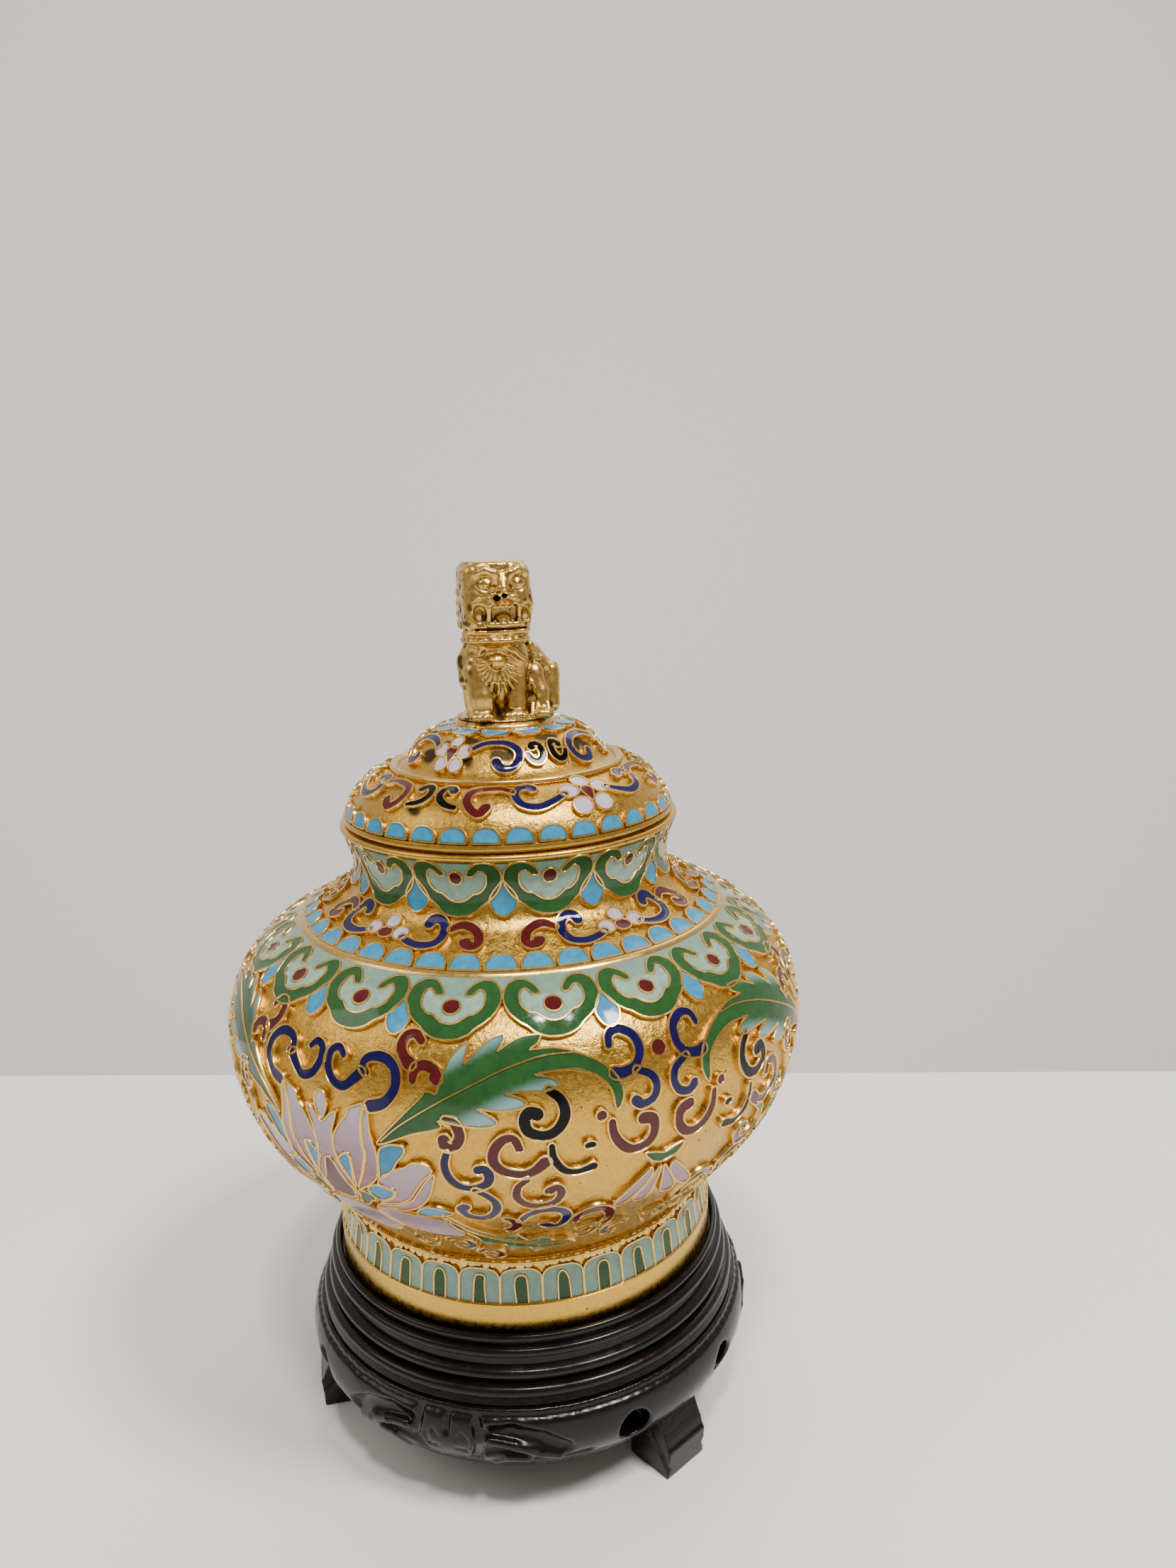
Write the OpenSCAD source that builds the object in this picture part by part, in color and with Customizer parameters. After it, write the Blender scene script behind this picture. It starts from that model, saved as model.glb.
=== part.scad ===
// Lidded cloisonne jar with a guardian-lion knob, on a carved three-footed wooden stand.
// Millimetres, +Z up. The origin is the middle of the stand's footprint, on the table.
// Positions on the jar's wall are given by s, the length along its outline from the foot upwards.

/* [Stand] */
// Height of the rim that holds the jar
stand_h = 28.9; // [28.5:0.1:29.5]
// Outer radius of that rim
stand_rim_r = 32.8; // [32.6:0.1:33.2]
// Height of the apron's lower edge above the table
apron_z = 7; // [6:0.5:8]
// Direction of the first foot, from +X
foot_dir = -47; // [-60:1:-30]
// Number of feet
feet = 3; // [3:1:3]
// Width of a foot
foot_w = 8.2; // [7:0.1:10]

/* [Jar] */
// Height of the jar's seat on the stand
seat_z = 26.5; // [26.3:0.1:26.8]
// Thickness of the sheet copper
copper_t = 0.7; // [0.6:0.05:0.8]
// Height of the wires and enamel above the gilt ground
relief = 0.6; // [0.4:0.05:0.7]
// Thickness of the enamel inside the jar and the lid
lining_t = 0.25; // [0.2:0.05:0.3]

/* [Decoration] */
// Lappets hanging round the neck
neck_lappets_n = 12; // [10:1:14]
// Lappets round the shoulder
collar_lappets_n = 18; // [16:1:20]
// Scales round the shoulder
shoulder_scales_n = 41; // [36:1:44]
// Scales round the lid's edge
lid_scales_n = 34; // [30:1:36]
// Scallops round the lid's crown
crown_scales_n = 12; // [10:1:14]
// Upright petals round the foot
foot_petals_n = 31; // [28:1:34]
// Flowers round the shoulder
flowers_n = 5; // [5:1:5]
// Flowers in each of the lid's two flower bands
lid_flowers_n = 3; // [3:1:3]
// Lotus blooms round the belly
lotus_n = 3; // [3:1:3]

/* [Lid] */
// Height of the face where the lid rests on the mouth
lid_z = 100.7; // [100.6:0.1:100.8]
// Radius of the lid's edge
lid_r = 26.2; // [26:0.1:26.4]
// Depth of the lid's collar inside the mouth
flange_h = 3.2; // [2.5:0.1:4]

/* [Hidden] */

gilt = [0.84, 0.66, 0.33];
lacquer = [0.09, 0.07, 0.06];
turquoise = [0.31, 0.63, 0.76];
green = [0.14, 0.38, 0.18];
celadon = [0.6, 0.74, 0.68];
burgundy = [0.46, 0.13, 0.16];
cobalt = [0.11, 0.12, 0.4];
lilac = [0.76, 0.7, 0.78];
soot = [0.06, 0.06, 0.07];

turns = 96;
round_fn = 32;
cut = 0.01;

// ---- outlines ----
// Points on an arc from angle a0 to a1
function arc(c, r, a0, a1, n) =
    [for (i = [0:n]) c + r * [cos(a0 + (a1 - a0) * i / n), sin(a0 + (a1 - a0) * i / n)]];

// The jar's outer outline, foot to lip: arcs of the belly, shoulder, neck fillet and mouth flare
belly_low_c = [18.8, 68.5];
belly_low_r = 27.4;
belly_low_a = 41;
shoulder_c = [29.7, 69.5];
shoulder_r = 16.5;
shoulder_a = 61.5;
neck_r = 25.1;
neck_z = 93.5;
fillet_r = 4.5;
flare_r = 11.6;
flare_a = 29;
foot_top = [30.3, 39.6];
foot_band_r = 31.4;
foot_band_z = 33.2;
wall_line = concat(
    [foot_top],
    arc(belly_low_c, belly_low_r, -belly_low_a, 0, 9),
    arc(shoulder_c, shoulder_r, 0, shoulder_a, 9),
    arc([neck_r + fillet_r, neck_z], fillet_r, 180 + shoulder_a, 180, 5),
    arc([neck_r + flare_r, neck_z], flare_r, 179, 180 - flare_a, 4));
wall_s0 = 12.6;

// Running length along the outline, and the point and outward normal at length s
function lengths(p, i = 0, s = 0) =
    i == len(p) - 1 ? [s] : concat([s], lengths(p, i + 1, s + norm(p[i + 1] - p[i])));
wall_len = lengths(wall_line);
function seg_of(s, i = 0) =
    (i >= len(wall_len) - 2 || s < wall_len[i + 1]) ? i : seg_of(s, i + 1);
function wall_at(s) =
    let (d = s - wall_s0, i = seg_of(d), t = (d - wall_len[i]) / (wall_len[i + 1] - wall_len[i]))
    wall_line[i] + t * (wall_line[i + 1] - wall_line[i]);
function wall_dir(s) = let (e = wall_at(s + 0.8) - wall_at(s - 0.8)) e / norm(e);
function wall_normal(s) = let (e = wall_dir(s)) [e.y, -e.x];
function wall_tilt(s) = let (n = wall_normal(s)) atan2(n.y, n.x);

// Heights at which every layer on the wall has its corners, so that the layers meet exactly
grid_s = [13, 17, 21, 25, 29, 33, 37, 41, 45, 49, 53, 57, 60, 62, 64, 66, 68.6, 69.8,
          71.2, 72.8, 74.6, 76.6, 78.6, 80.6, 82.6, 84.6, 86.8];
function level(i, d) = let (s = grid_s[i]) wall_at(s) + d * wall_normal(s);
function layer(i0, i1, a, b) =
    concat([for (i = [i0:i1]) level(i, a)], [for (i = [i1:-1:i0]) level(i, b)]);
last = len(grid_s) - 1;
// Grid numbers of the bands
scale_i = 17;
neck_i = 23;
collar_i = 12;
ring_i = 16;

// The lid's outer outline: brim arc, step, hollow arc, crown arc
brim_c = [16.6, 99.4];
brim_r = 9.6;
brim_a0 = 14;
brim_a1 = 80;
bell_c = [18.6, 113];
bell_r = 4;
bell_a = 60;
crown_c = [8.5, 107.2];
crown_arc_r = 7.6;
function lid_line(d) = concat(
    arc(brim_c, brim_r + d, brim_a0, brim_a1, 6),
    arc(bell_c, bell_r - d, 262, 270 - bell_a, 3),
    arc(crown_c, crown_arc_r + d, 90 - bell_a, 90, 4));
crown_z = crown_c.y + crown_arc_r;
lid_wall_z = brim_c.y + brim_r * sin(brim_a0);
lid_ground = -relief;
lid_inside = -relief - copper_t;

// ---- placing ----
module turned(points) rotate_extrude($fn = turns) polygon(points);

// Puts a flat shape on the jar's wall: angle from the front (-Y) towards +X, and height s
module on_wall(angle, s) {
    p = wall_at(s);
    rotate([0, 0, angle - 90]) translate([p.x, 0, p.y]) rotate([0, 90 - wall_tilt(s), 0])
        rotate([0, 0, 90]) translate([0, 0, -2]) linear_extrude(4) children();
}
// The same on the lid, at angle a of the arc with centre c and radius r
module on_arc(angle, c, r, a) {
    rotate([0, 0, angle - 90]) translate([c.x + r * cos(a), 0, c.y + r * sin(a)])
        rotate([0, 90 - a, 0]) rotate([0, 0, 90]) translate([0, 0, -1.6])
            linear_extrude(3.2) children();
}
module around(n, phase) for (i = [0:n - 1]) rotate([0, 0, phase + i * 360 / n]) children();
module wall_layer(i0, i1, a = 0, b = 1) turned(layer(i0, i1, -relief * (1 - a), -relief * (1 - b)));

// ---- flat motifs ----
// A cloud-head lappet: two curled shoulders and a rounded tip, open at the middle of the top
module lappet(w, h) difference() {
    union() {
        for (k = [-1, 1]) translate([k * w * 0.24, h * 0.1]) circle(w * 0.235, $fn = round_fn);
        translate([0, -h * 0.12]) circle(w * 0.28, $fn = round_fn);
    }
    translate([0, h * 0.12]) circle(w * 0.14, $fn = round_fn);
    translate([-w * 0.07, h * 0.12]) square([w * 0.14, h]);
}
module drop(w, h) {
    translate([0, -h * 0.15]) circle(w / 2, $fn = round_fn);
    polygon([[-w * 0.42, 0], [w * 0.42, 0], [0, h * 0.6]]);
}
module scale_tile(w, h) intersection() {
    translate([0, -h * 0.1]) circle(w / 2, $fn = round_fn);
    translate([-w / 2, -h / 2]) square([w, h * 1.3]);
}
module flower_head(r, n, phase) {
    for (i = [0:n - 1]) rotate(phase + i * 360 / n) translate([r * 0.58, 0])
        circle(r * 0.4, $fn = round_fn);
    circle(r * 0.36, $fn = round_fn);
}
// A curl: a ring left open on one side, with a round end
module curl(r, w, mouth) {
    difference() {
        circle(r, $fn = round_fn);
        circle(r - w, $fn = round_fn);
        rotate(mouth) polygon([[0, 0], [2 * r, -1.3 * r], [2 * r, 1.3 * r]]);
    }
    rotate(mouth + 36) translate([r - w / 2, 0]) circle(w * 0.64, $fn = round_fn);
}
module pointed_oval(len, w) {
    r = (len * len + w * w) / (4 * w);
    intersection() {
        translate([0, r - w / 2]) circle(r, $fn = 64);
        translate([0, w / 2 - r]) circle(r, $fn = 64);
    }
}
module lotus(r) {
    for (a = [-58, -29, 0, 29, 58])
        rotate(90 + a) translate([r * 0.5, 0]) pointed_oval(r * 0.98, r * 0.3);
    circle(r * 0.2, $fn = round_fn);
}

// ---- stand ----
apron_top = 19;
apron_line = concat([[31, apron_z], [33.2, apron_z]],
    arc([30.2, 14.6], 7.1, -52, 38, 6), [[35.6, apron_top], [31, apron_top]]);
ledge_r = 26;
board_z = 21.5;
recess_r = foot_band_r + 0.4;

module stand_top_ring() color(lacquer) turned(concat(
    [[ledge_r - 2, apron_top], [34.9, apron_top], [35.2, 19.6]],
    arc([34.2, 20.9], 1, -50, 70, 5),
    [[33.5, 21.9]],
    arc([33.3, 23.2], 0.9, -50, 60, 5),
    [[32.7, 24.4], [32.6, 25.4]],
    arc([32.8, 26.4], 0.8, -60, 60, 5),
    [[32.3, 27.3]],
    arc([stand_rim_r - 0.6, stand_h - 0.6], 0.6, -20, 90, 5),
    [[recess_r + 0.2, stand_h], [recess_r, stand_h - 0.3], [recess_r, seat_z],
     [ledge_r, seat_z], [ledge_r, board_z], [ledge_r - 2, board_z]]));

module stand_seat_board() color(lacquer)
    translate([0, 0, board_z]) cylinder(r = ledge_r, h = 3.6, $fn = turns);

panel_step = 20;
module stand_apron() color(lacquer) difference() {
    turned(apron_line);
    for (i = [0:feet - 1]) {
        // pierced eye on each side of a foot
        for (k = [-1, 1]) rotate([0, 0, foot_dir + i * 120 + k * 15.5])
            translate([0, 0, 13.2]) rotate([0, 90, 0]) translate([0, 0, 29])
                cylinder(r = 2.6, h = 12, $fn = round_fn);
        // sunken panels of the carving between the feet
        for (k = [-1, 0, 1]) rotate([0, 0, foot_dir + 60 + i * 120 + k * panel_step])
            translate([36.2, -4.6, 10.9 + 1.8 * abs(k)]) cube([5, 9.2, 5.6 - 1.8 * abs(k)]);
    }
    for (i = [0:feet - 1]) foot_slab(i, concat(foot_face, [[31.9, 0]]));
}

foot_out = 36.7;
// Outline of the outside of a foot, flaring outwards below with a sloping top
foot_face = [[foot_out, 0], [foot_out + 0.5, 4.8], [34.8, 9.6], [31.9, 9.6]];
module foot_slab(i, line) rotate([0, 0, foot_dir + i * 360 / feet])
    translate([0, foot_w / 2, 0]) rotate([90, 0, 0]) linear_extrude(foot_w) polygon(line);
// A foot's block also reaches inwards under the apron
module stand_foot(i) color(lacquer)
    foot_slab(i, concat([[28.5, 0]], foot_face, [[31.9, apron_z], [28.5, apron_z]]));
module stand_foot_right() stand_foot(0);
module stand_foot_back() stand_foot(1);
module stand_foot_left() stand_foot(2);

// ---- jar ----
module body_shell() color(gilt) turned(concat(
    [for (i = [0:last]) level(i, -relief)],
    [for (i = [last:-1:0]) level(i, -relief - copper_t)]));

module mouth_ring() color(gilt) {
    o = level(last, -relief);
    n = level(last, -relief - copper_t);
    m = level(last, -relief - copper_t - lining_t);
    turned(concat([[o.x, o.y], [26.4, 99.3]], arc([26.3, 99.8], 0.5, -60, 80, 5),
        [[25.3, lid_z - 0.3], [25.2, lid_z], [23.9, lid_z], [23.9, 99.4], [m.x, m.y], [n.x, n.y]]));
}

foot_in = 1.1;
foot_neck = level(0, -relief);
// How far the foot leans inwards for each millimetre of height
foot_lean = (foot_band_r - relief - foot_neck.x) / (foot_neck.y - foot_band_z);
module foot_ring() color(gilt) {
    turned([[foot_band_r - foot_in, seat_z], [foot_band_r - 0.2, seat_z],
            [foot_band_r, seat_z + 0.3], [foot_band_r, foot_band_z],
            [foot_band_r - relief, foot_band_z], [foot_neck.x, foot_neck.y],
            [foot_neck.x - foot_in, foot_neck.y],
            [foot_band_r - relief - foot_in, foot_band_z]]);
}
base_z = 37.6;
base_t = 0.9;
base_r = 28.6;
module base_disc() color(gilt) translate([0, 0, base_z])
    cylinder(r = base_r, h = base_t, $fn = turns);
module base_enamel() color(turquoise) translate([0, 0, base_z - 0.3])
    cylinder(r = base_r - 0.6, h = 0.3, $fn = turns);
module lining_enamel() color(turquoise) turned(concat(
    [[0, base_z + base_t], [base_r - 0.4, base_z + base_t],
     [foot_neck.x - foot_in - 0.05, foot_neck.y]],
    [for (i = [0:last]) level(i, -relief - copper_t)],
    [for (i = [last:-1:0]) level(i, -relief - copper_t - lining_t)],
    [[base_r - 1, base_z + base_t + lining_t], [0, base_z + base_t + lining_t]]));

// Foot: upright petals with a green core, standing between the gilt band and the belly
petal_z0 = foot_band_z + 0.1;
petal_h = 5.3;
module foot_layer(a, b) {
    turned([[foot_band_r - relief + a, petal_z0], [foot_band_r - relief + b, petal_z0],
            [foot_band_r - relief + b - foot_lean * petal_h, petal_z0 + petal_h],
            [foot_band_r - relief + a - foot_lean * petal_h, petal_z0 + petal_h]]);
}
module foot_petals() color(celadon) intersection() {
    foot_layer(0, relief * 0.5);
    around(foot_petals_n, 1.5) rotate([90, 0, 0]) translate([0, petal_z0 + petal_h / 2, 25])
        linear_extrude(10) translate([-2.7, -petal_h / 2]) square([5.4, petal_h]);
}
module foot_petal_cores() color(green) intersection() {
    foot_layer(relief * 0.5, relief);
    around(foot_petals_n, 1.5) rotate([90, 0, 0]) translate([0, petal_z0, 25])
        linear_extrude(10) {
            translate([-1.1, 0]) square([2.2, 3.2]);
            translate([0, 3.2]) circle(1.1, $fn = round_fn);
        }
}
module foot_wire_ring() color(gilt) {
    p = foot_neck;
    turned(concat([[p.x + 0.7 * foot_lean, p.y - 0.7]],
        arc([p.x + 0.25, p.y - 0.3], 0.35, -80, 60, 5), [[p.x, p.y]]));
}

// Neck: pale ground, lappets and drops, each a raised cell
neck_phase = -14;
lappet_s = 84;
module neck_ground_enamel() color(celadon) wall_layer(neck_i, last, 0, 0.5);
module neck_lappets() color(green) intersection() {
    wall_layer(neck_i, last, 0.5, 1);
    around(neck_lappets_n, neck_phase) on_wall(0, lappet_s) lappet(12.4, 7);
}
module neck_drops() color(turquoise) intersection() {
    wall_layer(neck_i - 1, neck_i, 0, 1);
    around(neck_lappets_n, neck_phase + 180 / neck_lappets_n) on_wall(0, 80.2) drop(3.6, 4);
}

// Shoulder: a band of flowers and curls over a row of scales
flower_phase = -35;
flower_s = 75.2;
module shoulder_flowers() color(lilac) intersection() {
    wall_layer(scale_i + 2, neck_i - 1);
    around(flowers_n, flower_phase) on_wall(0, flower_s) flower_head(2.3, 4, 45);
}
module shoulder_cobalt_scrolls() color(cobalt) intersection() {
    wall_layer(scale_i + 2, neck_i - 1);
    around(flowers_n, flower_phase) for (k = [-1, 1])
        on_wall(k * 14, flower_s + 0.4) curl(2.2, 0.8, k > 0 ? 120 : 60);
}
module shoulder_burgundy_scrolls() color(burgundy) intersection() {
    wall_layer(scale_i + 2, neck_i - 1);
    around(flowers_n, flower_phase) for (k = [-1, 1])
        on_wall(k * 27, flower_s) curl(2.1, 0.8, k > 0 ? 210 : -30);
}
module shoulder_scales() color(turquoise) intersection() {
    wall_layer(scale_i, scale_i + 2);
    around(shoulder_scales_n, 0.5) on_wall(0, 71) scale_tile(4.4, 2.2);
}
module shoulder_wire_ring() color(gilt) wall_layer(ring_i, scale_i);

// Collar: larger lappets below the wire ring, drops between their tips
collar_phase = -9;
module collar_ground_enamel() color(celadon) wall_layer(collar_i + 3, ring_i, 0, 0.5);
module collar_lappets() color(green) intersection() {
    union() {
        wall_layer(collar_i + 3, ring_i, 0.5, 1);
        wall_layer(collar_i, collar_i + 3, 0, 1);
    }
    around(collar_lappets_n, collar_phase) on_wall(0, 65) lappet(12.6, 8);
}
module collar_drops() color(turquoise) intersection() {
    wall_layer(collar_i, collar_i + 2);
    around(collar_lappets_n, collar_phase + 180 / collar_lappets_n)
        on_wall(0, 62) drop(2.4, 4);
}

// Belly: lotus blooms, serrated leaves and curls on the open gilt ground. The pattern is the same
// on both sides of each lotus, and between two of them a small hanging flower mirrors it again.
belly_lo = 1;
lotus_phase = -31.5;
module belly_cells() wall_layer(belly_lo, collar_i);
module each_half() for (i = [0:lotus_n - 1], k = [0, 1])
    rotate([0, 0, lotus_phase + i * 360 / lotus_n]) mirror([k, 0, 0]) children();
module belly_lotuses() color(lilac) intersection() {
    belly_cells();
    around(lotus_n, lotus_phase) union() {
        on_wall(0, 36) lotus(13);
        on_wall(180 / lotus_n, 38) rotate(180) for (a = [-24, -8, 8, 24])
            rotate(90 + a) translate([3.6, 0]) pointed_oval(7, 2.2);
    }
}
module belly_leaves() color(green) intersection() {
    belly_cells();
    each_half() {
        on_wall(26, 53) rotate(14) pointed_oval(22, 6);
        on_wall(36, 23.5) rotate(-16) pointed_oval(18, 5);
    }
}
module belly_cobalt_scrolls() color(cobalt) intersection() {
    belly_cells();
    each_half() {
        on_wall(4.1, 54.6) curl(2.1, 0.9, 75);
        on_wall(10.8, 53.8) curl(2.7, 0.9, 200);
        on_wall(26.4, 41.4) curl(2.5, 0.9, 95);
        on_wall(54.2, 56.3) curl(2.4, 0.9, 200);
        on_wall(39, 31) curl(2.4, 0.9, -90);
    }
}
module belly_burgundy_scrolls() color(burgundy) intersection() {
    belly_cells();
    each_half() {
        on_wall(33.6, 43.9) curl(2.5, 0.9, 35);
        on_wall(53.6, 45.6) curl(2.6, 0.9, 80);
        on_wall(38.2, 37.6) curl(2.4, 0.9, 50);
        on_wall(48.4, 29) curl(2.2, 0.9, -110);
    }
}
module belly_black_scrolls() color(soot) intersection() {
    belly_cells();
    each_half() {
        on_wall(39.6, 49.7) curl(2.6, 0.9, 130);
        on_wall(44, 43.4) curl(2.2, 0.8, 40);
    }
}

// ---- lid ----
lid_pts = len(lid_line(0)) - 1;
module lid_shell() color(gilt) turned(concat(
    lid_line(lid_ground), [[1.7, crown_z + lid_ground], [1.7, crown_z + lid_inside]],
    [for (i = [lid_pts:-1:0]) lid_line(lid_inside)[i]]));
module lid_lining() color(turquoise) turned(concat(
    lid_line(lid_inside), [[5, crown_z + lid_inside], [5, crown_z + lid_inside - lining_t]],
    [for (i = [lid_pts:-1:0]) lid_line(lid_inside - lining_t)[i]]));
module lid_rim_band() color(gilt) {
    o = lid_line(lid_ground)[0];
    n = lid_line(lid_inside)[0];
    turned([[n.x, n.y], [24.1, lid_z + 0.5], [24.1, lid_z], [lid_r - 0.2, lid_z],
            [lid_r, lid_z + 0.2], [lid_r, lid_z + 0.7], [o.x, o.y]]);
}
flange_r = 23.45;
module lid_flange() color(gilt) turned([[flange_r - 0.7, lid_z - flange_h],
    [flange_r, lid_z - flange_h], [flange_r, lid_z], [24.1, lid_z], [24.1, lid_z + 0.5],
    [flange_r - 0.7, lid_z + 0.5]]);
module lid_step_ring() color(gilt) {
    p = brim_c + (brim_r + lid_ground) * [cos(brim_a1), sin(brim_a1)];
    translate([0, 0, p.y]) turned(concat([[p.x - 0.9, 0.02]],
        arc([p.x - 0.3, 0.1], 0.6, 150, -10, 5)));
}
module brim_layer() turned(concat(arc(brim_c, brim_r + lid_ground, brim_a0, brim_a1, 6),
    arc(brim_c, brim_r, brim_a1, brim_a0, 6)));
crown_step = bell_a / 4;
module crown_layer(i) {
    a = 90 - bell_a + i * crown_step;
    turned(concat(arc(crown_c, crown_arc_r + lid_ground, a, a + 2 * crown_step, 2),
        arc(crown_c, crown_arc_r, a + 2 * crown_step, a, 2)));
}
module on_brim(angle, a) on_arc(angle, brim_c, brim_r, a) children();
module on_crown(angle, a) on_arc(angle, crown_c, crown_arc_r, a) children();

module lid_scales() color(turquoise) intersection() {
    brim_layer();
    around(lid_scales_n, 7) on_brim(0, 24) scale_tile(4.3, 2.5);
}
brim_phase = 35;
bell_phase = -31;
module lid_flowers() color(lilac) {
    intersection() {
        brim_layer();
        around(lid_flowers_n, brim_phase) on_brim(0, 55) flower_head(3, 5, 90);
    }
    intersection() {
        crown_layer(0);
        around(lid_flowers_n, bell_phase) on_crown(0, 44) flower_head(2.8, 5, 90);
    }
}
module lid_cobalt_scrolls() color(cobalt) {
    intersection() {
        brim_layer();
        around(lid_flowers_n, brim_phase) for (k = [-1, 1])
            on_brim(k * 20, 53) curl(2.3, 0.9, 90 - 30 * k);
    }
    intersection() {
        crown_layer(0);
        around(lid_flowers_n, bell_phase) for (k = [-1, 1])
            on_crown(k * 27, 44) curl(2.1, 0.8, 90 + 60 * k);
    }
}
module lid_burgundy_scrolls() color(burgundy) intersection() {
    brim_layer();
    around(lid_flowers_n, brim_phase) for (k = [-1, 1])
        on_brim(k * 35, 53) curl(2.2, 0.9, 90 + 60 * k);
}
module lid_black_scrolls() color(soot) {
    intersection() {
        brim_layer();
        around(lid_flowers_n, brim_phase) for (k = [-1, 1])
            on_brim(k * 50, 53) curl(2.2, 0.8, 90 - 30 * k);
    }
    intersection() {
        crown_layer(0);
        around(lid_flowers_n, bell_phase) for (k = [-1, 1])
            on_crown(k * 47, 44) curl(2.1, 0.8, 90 - 60 * k);
    }
}
module crown_scales() color(turquoise) intersection() {
    crown_layer(2);
    around(crown_scales_n, -6) on_crown(0, 71) rotate(180) scale_tile(5, 3);
}

// ---- knob ----
module ball(p, r) translate(p) sphere(r, $fn = 20);
module lion_plinth() color(gilt) translate([0, 0, crown_z + lid_ground]) difference() {
    cylinder(r = 8, h = 1.5, $fn = turns);
    translate([0, 0, -cut]) cylinder(r = 1.55, h = 2, $fn = round_fn);
}
plinth_top = crown_z + lid_ground + 1.5;
module lion() color(gilt) translate([0, 0, plinth_top]) difference() {
    union() {
        // head, flat on top
        hull() for (x = [-5, 3.6], y = [-7.5, -0.5], z = [15.2, 21.9]) ball([x, y, z], 2.2);
        // mane and chest
        hull() {
            ball([-0.7, -3.2, 14], 5);
            ball([-0.5, -3.4, 6], 4.6);
        }
        // front legs
        for (x = [-4.4, 2.6]) hull() {
            ball([x, -3.5, 8], 2.4);
            translate([x, -6.3, 0]) cylinder(r = 2.1, h = 1.5, $fn = 20);
        }
        // back and haunches
        hull() {
            ball([1.5, 1.5, 9.5], 4.6);
            ball([4.6, 3.4, 4.6], 4.4);
            translate([3.4, 2.6, 0]) cylinder(r = 5.2, h = 2, $fn = 20);
        }
    }
    translate([0, 0, -cut]) cylinder(r = 1.5, h = 5, $fn = round_fn);
    translate([-20, -20, -20]) cube([40, 40, 20]);
}
stud_z0 = 107;
module finial_stud() color(gilt) translate([0, 0, stud_z0])
    cylinder(r = 1.5, h = plinth_top + 4.5 - stud_z0, $fn = round_fn);
washer_z = crown_z + lid_inside - 0.6;
module finial_washer() color(gilt) translate([0, 0, washer_z]) difference() {
    cylinder(r = 4.2, h = 0.6, $fn = round_fn);
    translate([0, 0, -cut]) cylinder(r = 1.55, h = 1, $fn = round_fn);
}
module finial_nut() color(gilt) translate([0, 0, washer_z - 2.4]) difference() {
    cylinder(r = 3, h = 2.4, $fn = 6);
    translate([0, 0, -cut]) cylinder(r = 1.55, h = 3, $fn = round_fn);
}

stand_top_ring();
stand_seat_board();
stand_apron();
stand_foot_right();
stand_foot_back();
stand_foot_left();
body_shell();
foot_ring();
base_disc();
mouth_ring();
lining_enamel();
base_enamel();
foot_petals();
foot_petal_cores();
foot_wire_ring();
neck_ground_enamel();
neck_lappets();
neck_drops();
shoulder_flowers();
shoulder_cobalt_scrolls();
shoulder_burgundy_scrolls();
shoulder_scales();
shoulder_wire_ring();
collar_ground_enamel();
collar_lappets();
collar_drops();
belly_lotuses();
belly_leaves();
belly_cobalt_scrolls();
belly_burgundy_scrolls();
belly_black_scrolls();
lid_shell();
lid_rim_band();
lid_flange();
lid_lining();
lid_step_ring();
lid_scales();
lid_flowers();
lid_cobalt_scrolls();
lid_burgundy_scrolls();
lid_black_scrolls();
crown_scales();
lion();
lion_plinth();
finial_stud();
finial_washer();
finial_nut();
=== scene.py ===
import math

import bpy
import numpy as np
from mathutils import Matrix, Vector
from mathutils.geometry import delaunay_2d_cdt


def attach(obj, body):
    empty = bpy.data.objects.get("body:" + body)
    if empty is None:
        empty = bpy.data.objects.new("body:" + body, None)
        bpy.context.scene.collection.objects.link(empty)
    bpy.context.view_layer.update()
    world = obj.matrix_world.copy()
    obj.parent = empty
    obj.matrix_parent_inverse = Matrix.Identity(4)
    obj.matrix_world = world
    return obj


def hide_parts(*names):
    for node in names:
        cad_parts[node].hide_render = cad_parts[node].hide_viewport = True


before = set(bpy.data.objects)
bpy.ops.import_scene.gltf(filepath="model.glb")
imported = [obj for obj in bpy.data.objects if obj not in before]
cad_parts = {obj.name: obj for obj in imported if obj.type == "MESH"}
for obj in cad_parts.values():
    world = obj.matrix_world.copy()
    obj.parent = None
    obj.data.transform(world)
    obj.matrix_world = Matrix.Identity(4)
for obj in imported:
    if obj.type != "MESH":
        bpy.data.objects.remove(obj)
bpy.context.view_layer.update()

MM = 0.001


# ---- camera ----
def make_camera():
    """A phone-like camera looking down on the jar, tilted a little to one side."""
    pitch, roll = math.radians(12.68), math.radians(-1.69)
    forward = Vector((0, math.cos(pitch), -math.sin(pitch)))
    level_up = Vector((0, math.sin(pitch), math.cos(pitch)))
    right = math.cos(roll) * Vector((1, 0, 0)) + math.sin(roll) * level_up
    up = math.cos(roll) * level_up - math.sin(roll) * Vector((1, 0, 0))
    data = bpy.data.cameras.new("camera")
    data.sensor_fit = "HORIZONTAL"
    data.sensor_width = 36
    data.lens = 34.29
    data.clip_start = 0.01
    camera = bpy.data.objects.new("camera", data)
    turn = Matrix((right, up, -forward)).transposed().to_4x4()
    camera.matrix_world = Matrix.Translation(Vector((12.76, -175, 143.5)) * MM) @ turn
    bpy.context.scene.collection.objects.link(camera)
    bpy.context.scene.camera = camera


make_camera()


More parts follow.
